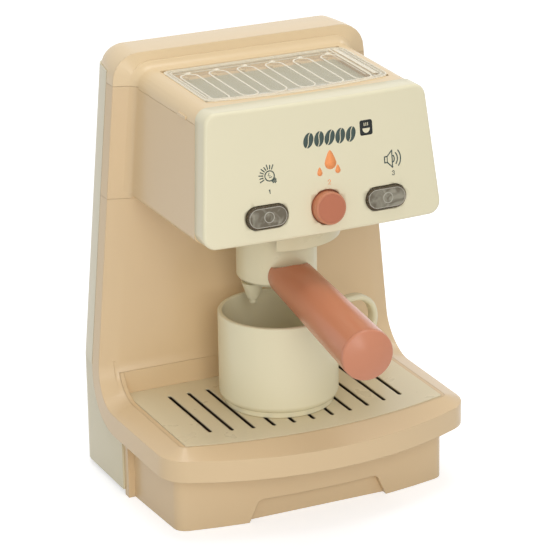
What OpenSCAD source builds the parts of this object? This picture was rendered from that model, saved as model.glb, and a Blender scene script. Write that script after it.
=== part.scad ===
// Toy coffee maker: a tower with a hood over a cup bay, a bayonet filter holder, a cup,
// a drip tray and a battery base. +X is right seen from the front, -Y is the front, +Z is up.
// The origin lies on the standing face, in the middle plane.

/* [Body] */
// Height over everything
body_h = 229; // [225:1:234]
// Width across the rim of the base
body_w = 172; // [168:1:178]
// Width of the tower at its very top
tower_top_w = 139.4; // [136:0.2:143]
// How much the tower widens on each side per millimetre downwards
tower_flare = 0.0897; // [0.085:0.0005:0.095]
// Distance from the origin forward to the front of the base rim
base_front = 83; // [81:0.5:88]
// Distance from the origin back to the back face
base_back = 61; // [59:0.5:66]
// Distance from the origin back to the crease of the tower front
tower_front = 28.5; // [27:0.5:31]
// Depth of the flange round the tower front
flange_d = 8.8; // [8:0.2:10]
// Radius of the sweep from the tower front into the base
sweep_r = 22; // [21:0.5:24]
// Width of the sloping border inside the flange
border_w = 11; // [10:0.5:12]
// Height of the sloping border
border_h = 4.2; // [3.6:0.1:4.8]
// Wall thickness of the housings
wall = 2.2; // [1.8:0.1:2.5]
// Radius of the upright corners at the back
back_corner_r = 12; // [10:0.5:13]

/* [Base] */
// Height of the upper crease of the base rim
rim_z = 44; // [43:0.5:46]
// Height of the rim's upright face
rim_h = 11.5; // [10.5:0.5:13]
// Radius of the rim's front corners
rim_corner_r = 18; // [16:0.5:20]
// Radius of the bow of the rim's front
rim_front_r = 170; // [160:5:190]
// Width across the skirt under the rim
skirt_w = 154; // [150:1:157]
// Set-back of the skirt's front from the rim's front
skirt_setback = 23; // [21:0.5:25]
// Height of the finger recess in the skirt
recess_h = 12; // [10:0.5:14]
// Half-width of the finger recess at the bottom
recess_half = 38.5; // [35:0.5:42]

/* [Hood] */
// Radius of the fillet between the hood and the tower
root_r = 5; // [4:0.5:6]
// Height of the underside of the hood
hood_z = 154; // [152:0.5:156]
// Width of the hood at its underside
hood_w = 131; // [128:0.5:134]
// Narrowing of each side of the hood per millimetre upwards
hood_flare = 0.09; // [0.08:0.005:0.1]
// Distance from the origin forward to the top edge of the front panel
panel_front = 59.9; // [58:0.5:62]
// Slope of the front panel from the upright, in degrees
panel_tilt = 7.67; // [6:0.5:9]
// Depth of the front panel
panel_d = 11; // [10:0.5:12]
// Bow of the front panel in its middle
panel_bow = 2.5; // [1.5:0.25:3]
// Slope of the hood's top, in degrees
top_slope = 1.38; // [1:0.1:1.8]
// Drop of the hood's top behind the top of the cover
top_step = 7.5; // [7:0.25:8.5]

/* [Window] */
// Width of the clear window
window_w = 100; // [94:1:102]
// Length of the clear window, front to back
window_l = 57; // [54:1:59]

/* [Controls] */
// Radius of the round button
brew_r = 8.3; // [7.5:0.1:9]
// Length of the oblong buttons
lens_l = 22.2; // [20:0.2:24]
// Height of the oblong buttons
lens_h = 11.5; // [10.5:0.1:12.5]
// Distance of the oblong buttons from the middle
lens_x = 32.5; // [31:0.5:34]
// Travel of the buttons
button_travel = 1.5; // [1:0.1:1.8]

/* [Group and filter holder] */
// Distance from the origin forward to the upright axis of the group
group_front = 11.4; // [10.5:0.1:12.5]
// Radius of the filter basket
basket_r = 20.8; // [20:0.1:21.5]
// Outer radius of the bayonet collar
collar_r = 32.8; // [32:0.1:33.6]
// Length of the handle from the basket's axis to its end cap
handle_l = 126; // [118:1:134]
// Radius of the handle near the basket
handle_r0 = 11.1; // [10.5:0.1:11.5]
// Radius of the handle at its end
handle_r1 = 13.9; // [13:0.1:14.5]
// Turn of the handle to the left at rest, in degrees
handle_turn = 5; // [0:1:8]

/* [Cup and tray] */
// Outer radius of the cup
cup_r = 31; // [29:0.5:32]
// Height of the cup
cup_h = 49.6; // [46:0.2:50]
// Wall thickness of the cup
cup_wall = 2.4; // [1.8:0.1:2.8]
// Distance between the slots of the grille
slot_pitch = 10.8; // [10:0.1:11.5]
// Width of the slots
slot_w = 2.2; // [1.6:0.1:2.8]
// Depth of the drip tray under its grille
tray_depth = 9.6; // [8:0.2:9.6]

/* [Battery base] */
// Diameter of one battery cell
cell_d = 14.5; // [14.1:0.1:14.5]
// Length of one battery cell
cell_l = 50.5; // [49:0.1:50.5]
// Thickness of the base plate and of the battery door
plate_t = 2.4; // [2:0.1:3]

/* [Hidden] */
$fn = 48;
hull_fn = 32;
seam = 0.1;
play = 0.3;
fit = 0.05;
eps = 0.01;

// Fasteners
screw_r = 1.2;
screw_hole_r = screw_r + fit;
screw_head_r = 2.6;
screw_head_h = 2;
boss_r = 3.6;
screw_drop = 22;
low_screw_z = 92;
// Height of the sockets that sink the screws of the base
socket_h = 5;

// Sweep from the tower into the base
arc_y = tower_front - sweep_r;
arc_z = rim_z + sweep_r;
plateau_r = sweep_r - border_h;
plateau_y = tower_front - border_h;
plateau_z = rim_z + border_h;
flange_y = tower_front + flange_d;
rim_bottom = rim_z - rim_h;

// Seams of the tower
cover_seam = body_h - 16;
cover_back_seam = body_h - 9.8;
cover_corner_r = 14;
cover_edge_r = 12.7;
side_slant = tan(9.4);

// Rear housing at the base
shell_front = 4;
shell_half = body_w / 2 - 3.2;
shell_bottom = 3;
tower_foot = arc_z - 4;

// Tray opening and well
opening_half = body_w / 2 - border_w;
opening_front = -base_front + 14.8;
opening_front_r = 240;
opening_corner_r = 4;
opening_top = arc_z - 6;
well_t = 2.2;
well_back = plateau_y + 1;
grille_z = plateau_z + 0.3;
grille_t = 2;
tray_floor_t = 1.6;
tray_floor = grille_z - grille_t - tray_depth - tray_floor_t;
deck_t = 2.2;
deck_z = tray_floor - seam - deck_t;
tray_wall = 2.3;
tray_half = opening_half - seam;
grille_half = tray_half - tray_wall;
grille_back = plateau_y - 2.8;

// Skirt
skirt_front = -base_front + skirt_setback;
skirt_front_r = 330;
skirt_corner_r = 7;
skirt_half_back = skirt_w / 2 + 1.2;
skirt_half_front = skirt_w / 2 - 0.8;
recess_depth = 6;
post_half = shell_half - 1;

// Hood
hood_top = body_h - top_step;
hood_seam = cover_seam - 1;
hood_edge_r = 4;
hood_top_r = 8.5;
panel_z = hood_top - 4.1;
panel_len = (panel_z - hood_z + 0.5) / cos(panel_tilt);
panel_lift = 2.3;
panel_corner_r = 6.5;
panel_edge_r = 3;
group_y = -group_front;

// Way of the wires out of the head
wire_w = 50;
wire_low = 12;
wire_drop = 17;

// Controls, in the panel's own plane
control_up = 12.877;
control_y = control_up - panel_len;
control_x = 1;
board_z = -17;
board_t = 1.6;
board_w = 106;
board_h = 22;
board_up = 15.6;
board_y = control_y + board_up;
switch_h = 3.5;
plunger_r = 1.7;
plunger_z = board_z + switch_h + button_travel + play;
board_boss_x = 50;
board_boss_top = 0.45 * panel_bow - 0.5 * wall;

// Group
collar_wall = 2.6;
collar_z = 137;
collar_ledge = 2.5;
lug_t = 3;
lug_r = collar_r - collar_wall - 0.7;
lug_angle = 30;
sector_start = -25;
sector_angle = 90;
basket_top = 150;
basket_bottom = 113.5;
basket_wall = 2.2;
handle_z = 119.9;
handle_droop = 2.1;
neck_s = 33;
tang_r = 4;
tang_end = handle_l - 26;
tang_hole = 14;
handle_seat = tang_end + 4;
spout_x = 13;
spout_tip = 99.6;

// Cup
cup_x = -3.7;
cup_y = -19.8;
cup_z = grille_z + seam;
cup_handle_r = 13;
cup_handle_t = 3.2;
cup_handle_w = 6.4;
cup_handle_x = cup_r + 17.3;
cup_handle_z = 31.5;

// Battery compartment
cell_count = 2;
cell_pitch = cell_d + 0.5;
box_wall = 2;
box_in_l = cell_l + 6;
box_in_w = cell_count * cell_pitch;
box_y = skirt_front + recess_depth + wall + box_wall + 0.8;
box_back = box_y + box_in_w + box_wall;
box_h = cell_d + 1.5;
door_half = box_in_l / 2 + box_wall + 2;
door_front = box_y - 1.5;
door_screw_y = box_back + boss_r - 0.4;
door_back = door_screw_y + boss_r + 1.4;
door_play = 0.35;

// Speaker on the inside of the back wall
speaker_r = 20;
speaker_z = 118;
speaker_back = base_back - wall;

function half_at(z) = min(body_w / 2, tower_top_w / 2 + (body_h - z) * tower_flare);
function hood_half(z) = hood_w / 2 - (z - hood_z) * hood_flare;
function flip(points) = [for (i = [len(points) - 1 : -1 : 0]) [-points[i][0], points[i][1]]];
function arc(cx, cy, r, a0, a1, n) =
    [for (i = [0 : n]) let (a = a0 + (a1 - a0) * i / n) [cx + r * cos(a), cy + r * sin(a)]];

// Plan of a piece with straight sides, rounded front corners and a bowed front, inset by d
function front_plan(back, half_back, half_front, corner, front, bow, d) =
    let (cx = half_front - corner,
        fy = front + bow,
        cy = fy - sqrt(pow(bow - corner, 2) - cx * cx),
        a = atan2(cy - fy, cx),
        side = concat([[half_back - d, back]], arc(cx, cy, corner - d, 0, a, 5),
            [for (i = [1 : 5]) let (b = a + (-90 - a) * i / 5)
                [(bow - d) * cos(b), fy + (bow - d) * sin(b)]]))
    concat(side, flip([for (i = [0 : len(side) - 2]) side[i]]));

function rim_plan(back, d) =
    front_plan(back, body_w / 2, body_w / 2 - 0.7, rim_corner_r, -base_front, rim_front_r, d);
function opening_plan(back, d) =
    front_plan(back, opening_half, opening_half, opening_corner_r, opening_front,
        opening_front_r, d);
function skirt_plan(back, d) =
    front_plan(back, skirt_half_back, skirt_half_front, skirt_corner_r, skirt_front,
        skirt_front_r, d);
function lift(points, z) = [for (p = points) [p[0], p[1], z]];

// Solid through a row of rings with equal numbers of points; each ring runs clockwise where
// it is seen from the last one
module loft(rings) {
    n = len(rings[0]);
    m = len(rings);
    sides = [for (k = [0 : m - 2], i = [0 : n - 1])
        [k * n + i, k * n + (i + 1) % n, (k + 1) * n + (i + 1) % n, (k + 1) * n + i]];
    first = [[for (i = [n - 1 : -1 : 0]) i]];
    last = [[for (i = [0 : n - 1]) (m - 1) * n + i]];
    polyhedron(points = [for (r = rings) each r], faces = concat(first, sides, last));
}

// Plate from z0 to z1 with the given outline
module slab(z0, z1) {
    translate([0, 0, z0]) linear_extrude(z1 - z0) children();
}

// Prism across the body, from -half to half, of an outline drawn in the (Y, Z) plane
module across(half) {
    translate([-half, 0, 0]) rotate([90, 0, 90]) linear_extrude(2 * half) children();
}

// Places its children at x and at -x
module pair(x) {
    for (side = [-1, 1]) translate([side * x, 0, 0]) children();
}

// Frame on the front panel: +Y runs up the slope, +Z points out of the panel
module on_panel() {
    translate([0, -panel_front, panel_z]) rotate([90 - panel_tilt, 0, 0]) children();
}

// Frame on the hood's top: +Z points out of it, Y = 0 is at the tower
module on_hood_top() {
    translate([0, tower_front, hood_top]) rotate([top_slope, 0, 0]) children();
}

// Everything in front of the front panel's back, moved back by d
module panel_side(d) {
    on_panel() translate([-body_w, -body_h, -panel_d - d]) cube([2 * body_w, 2 * body_h, 60]);
}

// Two half discs joined by a bar, centred, with overall length l and height h
module oblong(l, h) {
    square([l - h, h], center = true);
    for (side = [-1, 1]) translate([side * (l - h) / 2, 0]) circle(d = h);
}

// Pan-head screw along +Z: the underside of its head at z = 0, its point at z = -l
module screw(l) {
    difference() {
        cylinder(r = screw_head_r, h = screw_head_h);
        for (a = [0, 90]) rotate(a) translate([-1.6, -0.35, screw_head_h - 1]) cube([3.2, 0.7, 2]);
    }
    translate([0, 0, -l]) cylinder(r = screw_r, h = l + 0.1);
}

// Socket that sinks a screw's head into the standing face, from z = 0 up
module screw_socket() {
    translate([0, 0, -1]) cylinder(r = screw_r + 0.3, h = socket_h + 2);
    translate([0, 0, -1]) cylinder(r = screw_head_r + 0.3, h = screw_head_h + 1.6);
}

// ---- Housings ----

// Outline of the front wall, inset by d, over x and the distance p from the sweep's centre line
function wall_section(half, back, d) =
    let (edge = half - border_w - 0.18 * d, crease = sweep_r + 0.69 * d)
    [[-half + d, back + d], [-half + d, crease], [-edge, plateau_r + d], [edge, plateau_r + d],
        [half - d, crease], [half - d, back + d]];

function flange_depth(a) = flange_d + sweep_r + (rim_h - flange_d) * sin(a);
function section_at(a, d) =
    [for (q = wall_section(half_at(arc_z - sweep_r * sin(a)), flange_depth(a), d))
        [q[0], arc_y + q[1] * cos(a), arc_z - q[1] * sin(a)]];
function section_up(z, d) =
    [for (q = wall_section(half_at(z), flange_depth(0), d)) [q[0], arc_y + q[1], z]];

// Upper part of the tower's front, from z0 to z1
module tower_band(d, z0, z1) {
    loft([section_up(z1, d), section_up(z0, d)]);
}

// Lower part of the tower's front, its sweep and the rim of the base
module frame_solid(d) {
    loft(concat([section_up(hood_z - seam + d, d)], [for (a = [0 : 6 : 90]) section_at(a, d)]));
    loft([lift(rim_plan(arc_y, d), rim_bottom - d),
        lift(rim_plan(arc_y, d), rim_z - 0.69 * d),
        lift(opening_plan(arc_y, 0.18 * d), plateau_z - d)]);
}

// Well that carries the drip tray: deck, side walls and back wall
module tray_well() {
    slab(deck_z, deck_z + deck_t) polygon(opening_plan(well_back + well_t, -well_t));
    slab(deck_z, plateau_z - 1.2) difference() {
        polygon(opening_plan(arc_y, -well_t));
        polygon(opening_plan(arc_y + 1, 0));
    }
    translate([-opening_half - well_t, well_back, deck_z])
        cube([2 * (opening_half + well_t), well_t, arc_z - deck_z]);
    pair(opening_half + well_t / 2) across(well_t / 2) polygon(concat(
        [[well_back + 1, deck_z], [arc_y, deck_z]],
        arc(arc_y, arc_z, plateau_r + 1, -90, 0, 6)));
}

module recess_outline(d) {
    polygon(concat([[recess_half + 1 + d, -1]],
        arc(recess_half - 7.5, recess_h - 4, 4 + d, 10, 90, 4),
        flip(concat([[recess_half + 1 + d, -1]],
            arc(recess_half - 7.5, recess_h - 4, 4 + d, 10, 90, 4)))));
}

module recess_cut(d, y0, y1) {
    translate([0, y1, 0]) rotate([90, 0, 0]) linear_extrude(y1 - y0) recess_outline(d);
}

module skirt() {
    difference() {
        slab(0, rim_bottom + wall) polygon(skirt_plan(-1, 0));
        slab(-1, rim_bottom + 2 * wall) polygon(skirt_plan(0, wall));
    }
    pair(post_half - 3) translate([-3, -1, 0]) cube([6, shell_front - seam + 1, rim_bottom + 1]);
    // Ledge that joins the skirt to the rim
    difference() {
        slab(rim_bottom, rim_bottom + wall) polygon(rim_plan(arc_y, 1));
        slab(rim_bottom - 1, rim_bottom + 2 * wall) polygon(skirt_plan(arc_y + 1, wall));
    }
    intersection() {
        difference() {
            recess_cut(wall, skirt_front, skirt_front + recess_depth + wall);
            recess_cut(0, skirt_front - 1, skirt_front + recess_depth);
        }
        slab(0, 2 * recess_h) polygon(skirt_plan(0, 1));
    }
}

tower_screw_z = [cover_seam - screw_drop, low_screw_z];
module at_tower_screws(heights) {
    for (z = heights) pair(half_at(z) - 13) translate([0, 0, z]) children();
}

module tower_bosses(heights) {
    at_tower_screws(heights) translate([0, boss_meet, 0]) rotate([90, 0, 0])
        cylinder(r = boss_r, h = boss_meet - plateau_y - 1);
}

module tower_boss_holes(heights) {
    at_tower_screws(heights) translate([0, boss_meet + 1, 0]) rotate([90, 0, 0])
        cylinder(r = screw_hole_r, h = 14);
}

module at_base_screws(front) {
    pair(front ? skirt_w / 2 - 12 : shell_half - 15)
        translate([0, front ? skirt_front + 20 : base_back - 17, 0]) children();
}

boss_meet = flange_y + 6;
tower_screw_seat = base_back - 10;
tower_screw_l = 18;
module front_frame() color([0.85, 0.74, 0.58]) difference() {
    union() {
        difference() {
            frame_solid(0);
            frame_solid(wall);
        }
        tray_well();
        difference() {
            skirt();
            recess_cut(0, skirt_front - 5, skirt_front + recess_depth - 0.5);
        }
        tower_bosses([tower_screw_z[1]]);
        at_base_screws(true) slab(socket_h + seam, deck_z + 1) circle(r = boss_r);
    }
    // Opening for the drip tray
    slab(deck_z + deck_t, plateau_z + 1) polygon(opening_plan(arc_y + eps, 0));
    translate([-opening_half, arc_y, deck_z + deck_t])
        cube([2 * opening_half, well_back - arc_y, opening_top - deck_z - deck_t]);
    tower_boss_holes([tower_screw_z[1]]);
    at_base_screws(true) cylinder(r = screw_hole_r, h = deck_z - 4);
}

// Plan of the rear housing, inset by d; slanted sides on the tower, straight sides on the base
function rear_plan(half, slant, d) =
    let (cy = base_back - back_corner_r,
        edge = half - slant * (cy - flange_y),
        a = atan(slant),
        side = concat([[half + slant * (flange_y - shell_front) - d, shell_front - d]],
            arc(edge - back_corner_r, cy, back_corner_r - d, a, 90, 6)))
    concat(side, flip(side));

module rear_solid(d) {
    loft([lift(rear_plan(half_at(cover_back_seam), side_slant, d), cover_back_seam - seam + d),
        lift(rear_plan(half_at(tower_foot), side_slant, d), tower_foot),
        lift(rear_plan(shell_half, 0, d), rim_z),
        lift(rear_plan(shell_half, 0, d), shell_bottom - d)]);
}

// Everything in front of the flange's back edge, pushed back by the seam
module front_of_flange() {
    across(body_w) polygon(concat(
        [[-base_front, -10], [-base_front, body_h + 10], [flange_y + seam, body_h + 10]],
        [for (a = [0 : 6 : 90]) let (p = flange_depth(a) + seam)
            [arc_y + p * cos(a), arc_z - p * sin(a)]],
        [[shell_front, rim_bottom - seam], [shell_front, -10]]));
}

module speaker_holes() {
    for (row = [-3 : 3]) {
        l = 2 * sqrt(pow(speaker_r - 5, 2) - pow(row * 4, 2));
        translate([0, base_back + 1, speaker_z + row * 4]) rotate([90, 0, 0])
            linear_extrude(wall + 2) oblong(l, 1.8);
    }
}

module rear_housing() color([0.80, 0.77, 0.65]) difference() {
    union() {
        difference() {
            rear_solid(0);
            rear_solid(wall);
            front_of_flange();
        }
        at_tower_screws(tower_screw_z) translate([0, base_back - 1, 0]) rotate([90, 0, 0])
            cylinder(r = boss_r + 1.4, h = base_back - 1 - boss_meet - seam);
        at_base_screws(false) {
            slab(socket_h + seam, 26) circle(r = boss_r);
            translate([-0.8, 0, socket_h + seam]) cube([1.6, 16, 20]);
        }
        translate([0, base_back - wall, speaker_z]) rotate([90, 0, 0]) difference() {
            cylinder(r = speaker_r + 2, h = 3);
            translate([0, 0, -1]) cylinder(r = speaker_r + seam, h = 5);
        }
    }
    at_tower_screws(tower_screw_z) translate([0, base_back + 1, 0]) rotate([90, 0, 0]) {
        cylinder(r = screw_head_r + 0.6, h = base_back + 1 - tower_screw_seat + seam);
        cylinder(r = screw_hole_r, h = 40);
    }
    at_base_screws(false) cylinder(r = screw_hole_r, h = 22);
    speaker_holes();
}

// Outline of the tower's front at the cover, inset by d
module cover_front(d) {
    r = cover_corner_r;
    side = concat([[half_at(cover_seam - 10) - d, cover_seam - 10]],
        arc(half_at(body_h - r) - r, body_h - r, r - d, 0, 90, 6));
    polygon(concat(side, flip(side)));
}

module cover_solid(d) {
    corner_x = half_at(body_h) - cover_corner_r + 0.1;
    hull() {
        translate([0, flange_y - 0.1, 0]) rotate([90, 0, 0])
            linear_extrude(flange_d - 0.1 - d) cover_front(d);
        translate([0, plateau_y + 1 + d, 0]) rotate([90, 0, 0])
            linear_extrude(1) cover_front(border_w + 0.3 * d);
        pair(corner_x) translate([0, base_back - cover_edge_r, body_h - cover_edge_r])
            sphere(r = cover_edge_r - d, $fn = hull_fn);
    }
}

// Hood part of the cover, inset by d, in the frame of the hood's top
module cover_hood(d) {
    half = hood_half(hood_seam);
    back = plateau_y - tower_front + 2 - d;
    len = back + tower_front + panel_front - 4;
    hull() {
        pair(half - hood_top_r) translate([0, back, -hood_top_r])
            rotate([90, 0, 0]) cylinder(r = hood_top_r - d, h = len, $fn = hull_fn);
        translate([-half + d, back - len, -16]) cube([2 * (half - d), len, 3]);
    }
}

// Fillet where the hood grows out of the tower: the hood's outline flares backward. The
// outlines are drawn in front view, flared by d
root_y = plateau_y - 0.688 * root_r;
root_turn = 69;
root_top = hood_top - (tower_front - root_y) * tan(top_slope);
function root_ring(points, y) = [for (q = points) [q[0], y, q[1]]];
function flare(t) = root_r * (1 - cos(t));
function hood_lower(d) =
    let (r = hood_edge_r, half = hood_half(hood_z + r) - r,
        side = concat(arc(half, hood_z + r, r + d, -90, 0, 5),
            [[hood_half(cover_seam) + d, cover_seam]]))
    concat(side, flip(side));
function hood_upper(d) =
    let (r = hood_top_r, half = hood_half(hood_seam),
        side = concat([[half + d, hood_seam - 2]], arc(half - r, root_top - r, r + d, 0, 90, 6)))
    concat(side, flip(side));
module hood_root(upper) {
    steps = [for (t = [0 : root_turn / 4 : root_turn]) [flare(t), root_y + root_r * sin(t)]];
    last = flare(root_turn);
    rings = concat(steps, [[last, plateau_y + wall]]);
    loft([for (q = rings)
        root_ring(upper ? hood_upper(q[0]) : hood_lower(q[0]), q[1])]);
}

module window_cut(d, z0, z1) {
    on_hood_top() translate([-window_w / 2 - d, -12 - window_l - d, z0])
        cube([window_w + 2 * d, window_l + 2 * d, z1 - z0]);
}

module top_cover() color([0.95, 0.86, 0.70]) difference() {
    union() {
        difference() {
            cover_solid(0);
            translate([-body_w, -body_h, 0]) cube([2 * body_w, 2 * body_h, cover_seam]);
            translate([-body_w, flange_y - seam / 2, 0])
                cube([2 * body_w, body_h, cover_back_seam]);
        }
        difference() {
            union() {
                on_hood_top() cover_hood(0);
                hood_root(true);
            }
            translate([-body_w, -body_h, 0]) cube([2 * body_w, 2 * body_h, hood_seam + seam]);
            translate([-body_w, root_y, 0]) cube([2 * body_w, body_h, cover_seam]);
            panel_side(seam);
        }
        // Catch at the seam of the hood
        translate([-hood_half(hood_seam) - 0.5, -38.6, hood_seam + seam]) cube([2, 9.6, 1.6]);
    }
    cover_solid(wall);
    on_hood_top() cover_hood(wall);
    window_cut(seam, -14, 5);
}

module hood_outline(d, z1) {
    half = hood_half(hood_z + hood_edge_r) - hood_edge_r;
    side = concat(arc(half, hood_z + hood_edge_r, hood_edge_r - d, -90, 0, 5),
        [[hood_half(z1) - d, z1]]);
    polygon(concat(side, flip(side)));
}

module hood_prism(d, y0, y1, z1) {
    translate([0, y1, 0]) rotate([90, 0, 0]) linear_extrude(y1 - y0) hood_outline(d, z1);
}

collar_plate_r = collar_r + 2.4;
collar_post_r = 2;
collar_top = hood_z + wall + 2.6;
module at_collar_screws() {
    for (a = [45 : 90 : 315]) translate([0, group_y, 0]) rotate(a)
        translate([collar_r + 2.6, 0, 0]) children();
}

module head_housing() color([0.80, 0.70, 0.54]) difference() {
    union() {
        difference() {
            union() {
                hood_prism(0, -80, plateau_y + 1, hood_seam);
                tower_band(0, hood_z, cover_seam - seam);
                intersection() {
                    hood_root(false);
                    slab(hood_z, cover_seam - seam) square(2 * body_w, center = true);
                }
            }
            hood_prism(wall, -81, plateau_y, hood_seam + 1);
            tower_band(wall, hood_z - 1, cover_seam + 1);
        }
        at_collar_screws() slab(hood_z + 1, collar_top) circle(r = collar_post_r);
        tower_bosses([tower_screw_z[0]]);
    }
    // Opening for the wires between the tower and the hood
    translate([-wire_w / 2, plateau_y - 5, hood_z + wire_low])
        cube([wire_w, 15, cover_seam - wire_drop - hood_z - wire_low]);
    tower_boss_holes([tower_screw_z[0]]);
    panel_side(seam);
    translate([0, group_y, hood_z - 5]) cylinder(r = collar_r + seam, h = 20);
    at_collar_screws() slab(hood_z + 1, hood_z + 20) circle(r = screw_hole_r);
}

// ---- Front panel and controls ----

panel_top = panel_z + panel_lift * cos(panel_tilt);
panel_low = hood_z - 0.5;
panel_half = hood_half((panel_top + panel_low) / 2);
bow_r = pow(panel_half, 2) / (2 * panel_bow);

// Height of the bowed face over its chord, at a distance x from the middle
function bow_at(x) = panel_bow * (1 - pow(x / panel_half, 2));

// Front view of the panel, inset by d, with n steps in each rounded corner
function panel_outline(d, n) =
    let (r = panel_corner_r,
        side = concat(arc(hood_half(panel_low + r) - r, panel_low + r, r - d, -90, -4, n),
            arc(hood_half(panel_top - r) - r, panel_top - r, r - d, -4, 90, n)))
    concat(side, flip(side));

// Places its children in front view at q, d behind the bowed face
module on_face(q, d) {
    z = bow_at(q[0]) - d;
    on_panel() translate([q[0], (q[1] - panel_z - z * sin(panel_tilt)) / cos(panel_tilt), z])
        children();
}

// Rounded block of the panel, back to its seam with the hood
module panel_block() {
    r = panel_edge_r;
    steps = [for (k = [-3 : 3], z = [panel_low + r, panel_top - r])
        [k / 4 * (panel_half - panel_corner_r), z]];
    difference() {
        hull() {
            for (q = concat(panel_outline(r, 2), steps)) on_face(q, r) sphere(r = r, $fn = 20);
            translate([0, -panel_front + 3 * panel_d, 0]) rotate([90, 0, 0]) linear_extrude(1)
                polygon(panel_outline(0, 6));
        }
        on_panel() translate([-body_w, -body_h, -panel_d - body_w])
            cube([2 * body_w, 2 * body_h, body_w]);
    }
}

// Space inside the panel, one wall behind its bowed face
module panel_hollow() {
    intersection() {
        rotate([90, 0, 0]) linear_extrude(body_h) polygon(panel_outline(wall, 6));
        on_panel() translate([0, 0, panel_bow - bow_r]) rotate([90, 0, 0])
            cylinder(r = bow_r - wall, h = 3 * panel_len, center = true, $fn = 720);
    }
}

module at_lenses() {
    translate([control_x, control_y, 0]) pair(lens_x) children();
}

module at_board_bosses() {
    translate([control_x, board_y - board_h / 2, 0])
        for (x = [-board_boss_x, board_boss_x], y = [-1, 1])
            translate([x, y * (board_h / 2 - 3), 0]) children();
}

module front_panel() color([0.91, 0.87, 0.75]) difference() {
    union() {
        difference() {
            panel_block();
            panel_hollow();
        }
        on_panel() at_board_bosses() translate([0, 0, board_z + seam])
            cylinder(r = 2.6, h = board_boss_top - board_z - seam);
    }
    on_panel() {
        translate([control_x, control_y, -9]) cylinder(r = brew_r + 0.4, h = 20);
        at_lenses() translate([0, 0, -9]) linear_extrude(20) oblong(lens_l + 0.7, lens_h + 0.7);
        at_board_bosses() translate([0, 0, board_z - 1]) cylinder(r = screw_hole_r, h = 9);
    }
}

brew_face = panel_bow + 4.8;
brew_flange = bow_at(brew_r + 3) - wall - play;
module brew_button() color([0.73, 0.49, 0.39]) on_panel()
    translate([control_x, control_y, 0]) {
        rotate_extrude() polygon(concat([[0, brew_flange - 1.2], [brew_r + 1.8, brew_flange - 1.2],
            [brew_r + 1.8, brew_flange], [brew_r, brew_flange]],
            arc(brew_r - 2, brew_face - 2, 2, 0, 70, 4),
            [[brew_r - 2, brew_face - 0.25], [0, brew_face]]));
        translate([0, 0, plunger_z + fit])
            cylinder(r = 2.6, h = brew_flange - 1 - plunger_z - fit);
    }

lens_face = bow_at(lens_x) + 1.5;
lens_flange = bow_at(lens_x + lens_l / 2 + 3.5) - wall - play;
module lens_button() {
    translate([0, 0, lens_flange - 1.2]) linear_extrude(1.2) oblong(lens_l + 3, lens_h + 3);
    translate([0, 0, lens_flange - 0.1]) linear_extrude(lens_face - lens_flange - 0.8)
        oblong(lens_l, lens_h);
    translate([0, 0, lens_face - 1]) linear_extrude(1) oblong(lens_l - 1.4, lens_h - 1.4);
    translate([0, 0, lens_face - 0.1]) cylinder(r = 3, h = 0.6);
    translate([0, 0, plunger_z + fit]) cylinder(r = 2.6, h = lens_flange - 1 - plunger_z - fit);
}

module light_button() color([0.86, 0.85, 0.80, 0.6]) on_panel()
    translate([control_x - lens_x, control_y, 0]) lens_button();

module sound_button() color([0.86, 0.85, 0.80, 0.6]) on_panel()
    translate([control_x + lens_x, control_y, 0]) lens_button();

module plunger(x) color([0.2, 0.2, 0.2]) on_panel()
    translate([control_x + x, control_y, board_z + switch_h - 1])
        cylinder(r = plunger_r, h = plunger_z - board_z - switch_h + 1);

module brew_plunger() plunger(0);
module light_plunger() plunger(-lens_x);
module sound_plunger() plunger(lens_x);

module switch_bodies() color([0.15, 0.15, 0.16]) on_panel()
    for (x = [-lens_x, 0, lens_x]) translate([control_x + x, control_y, board_z + seam])
        difference() {
            translate([-3, -3, 0]) cube([6, 6, switch_h - seam]);
            translate([0, 0, 0.6]) cylinder(r = plunger_r + fit, h = switch_h);
        }

module button_leds() color([0.95, 0.93, 0.85]) on_panel()
    for (x = [-lens_x, lens_x]) translate([control_x + x + 7, control_y, board_z + seam]) {
        cylinder(r = 1.7, h = 1);
        cylinder(r = 1.5, h = 5);
        translate([0, 0, 5]) sphere(r = 1.5);
    }

module control_board() color([0.20, 0.42, 0.28]) on_panel() difference() {
    translate([control_x - board_w / 2, board_y - board_h, board_z - board_t])
        cube([board_w, board_h, board_t]);
    at_board_bosses() translate([0, 0, board_z - board_t - 1])
        cylinder(r = screw_r + 0.2, h = board_t + 2);
}

module board_screws() color([0.75, 0.75, 0.77]) on_panel() at_board_bosses()
    translate([0, 0, board_z - board_t - seam - 1.6]) rotate([180, 0, 0]) translate([0, 0, -1.6])
        difference() {
            union() {
                cylinder(r = screw_head_r - 0.4, h = 1.6);
                translate([0, 0, -7]) cylinder(r = screw_r, h = 7.1);
            }
            for (a = [0, 90]) rotate(a) translate([-1.4, -0.3, 1.1]) cube([2.8, 0.6, 1]);
        }

// ---- Window ----

module top_window() color([0.85, 0.86, 0.84, 0.4]) difference() {
    window_cut(0, -2.2, -0.3);
    window_cut(-3, -1.3, 0.7);
}

rib_count = 6;
rib_pitch = 15.6;
rim_drop = 2.3;
ledge_drop = 4.2;
well_drop = 7.4;
tray_sheet = 1.5;

// Rectangle in the window's outline, inset at the sides and front by d and at the back by e
module window_area(d, e) {
    translate([-window_w / 2 + d, -12 - window_l + d]) square([window_w - 2 * d, window_l - d - e]);
}

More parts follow.
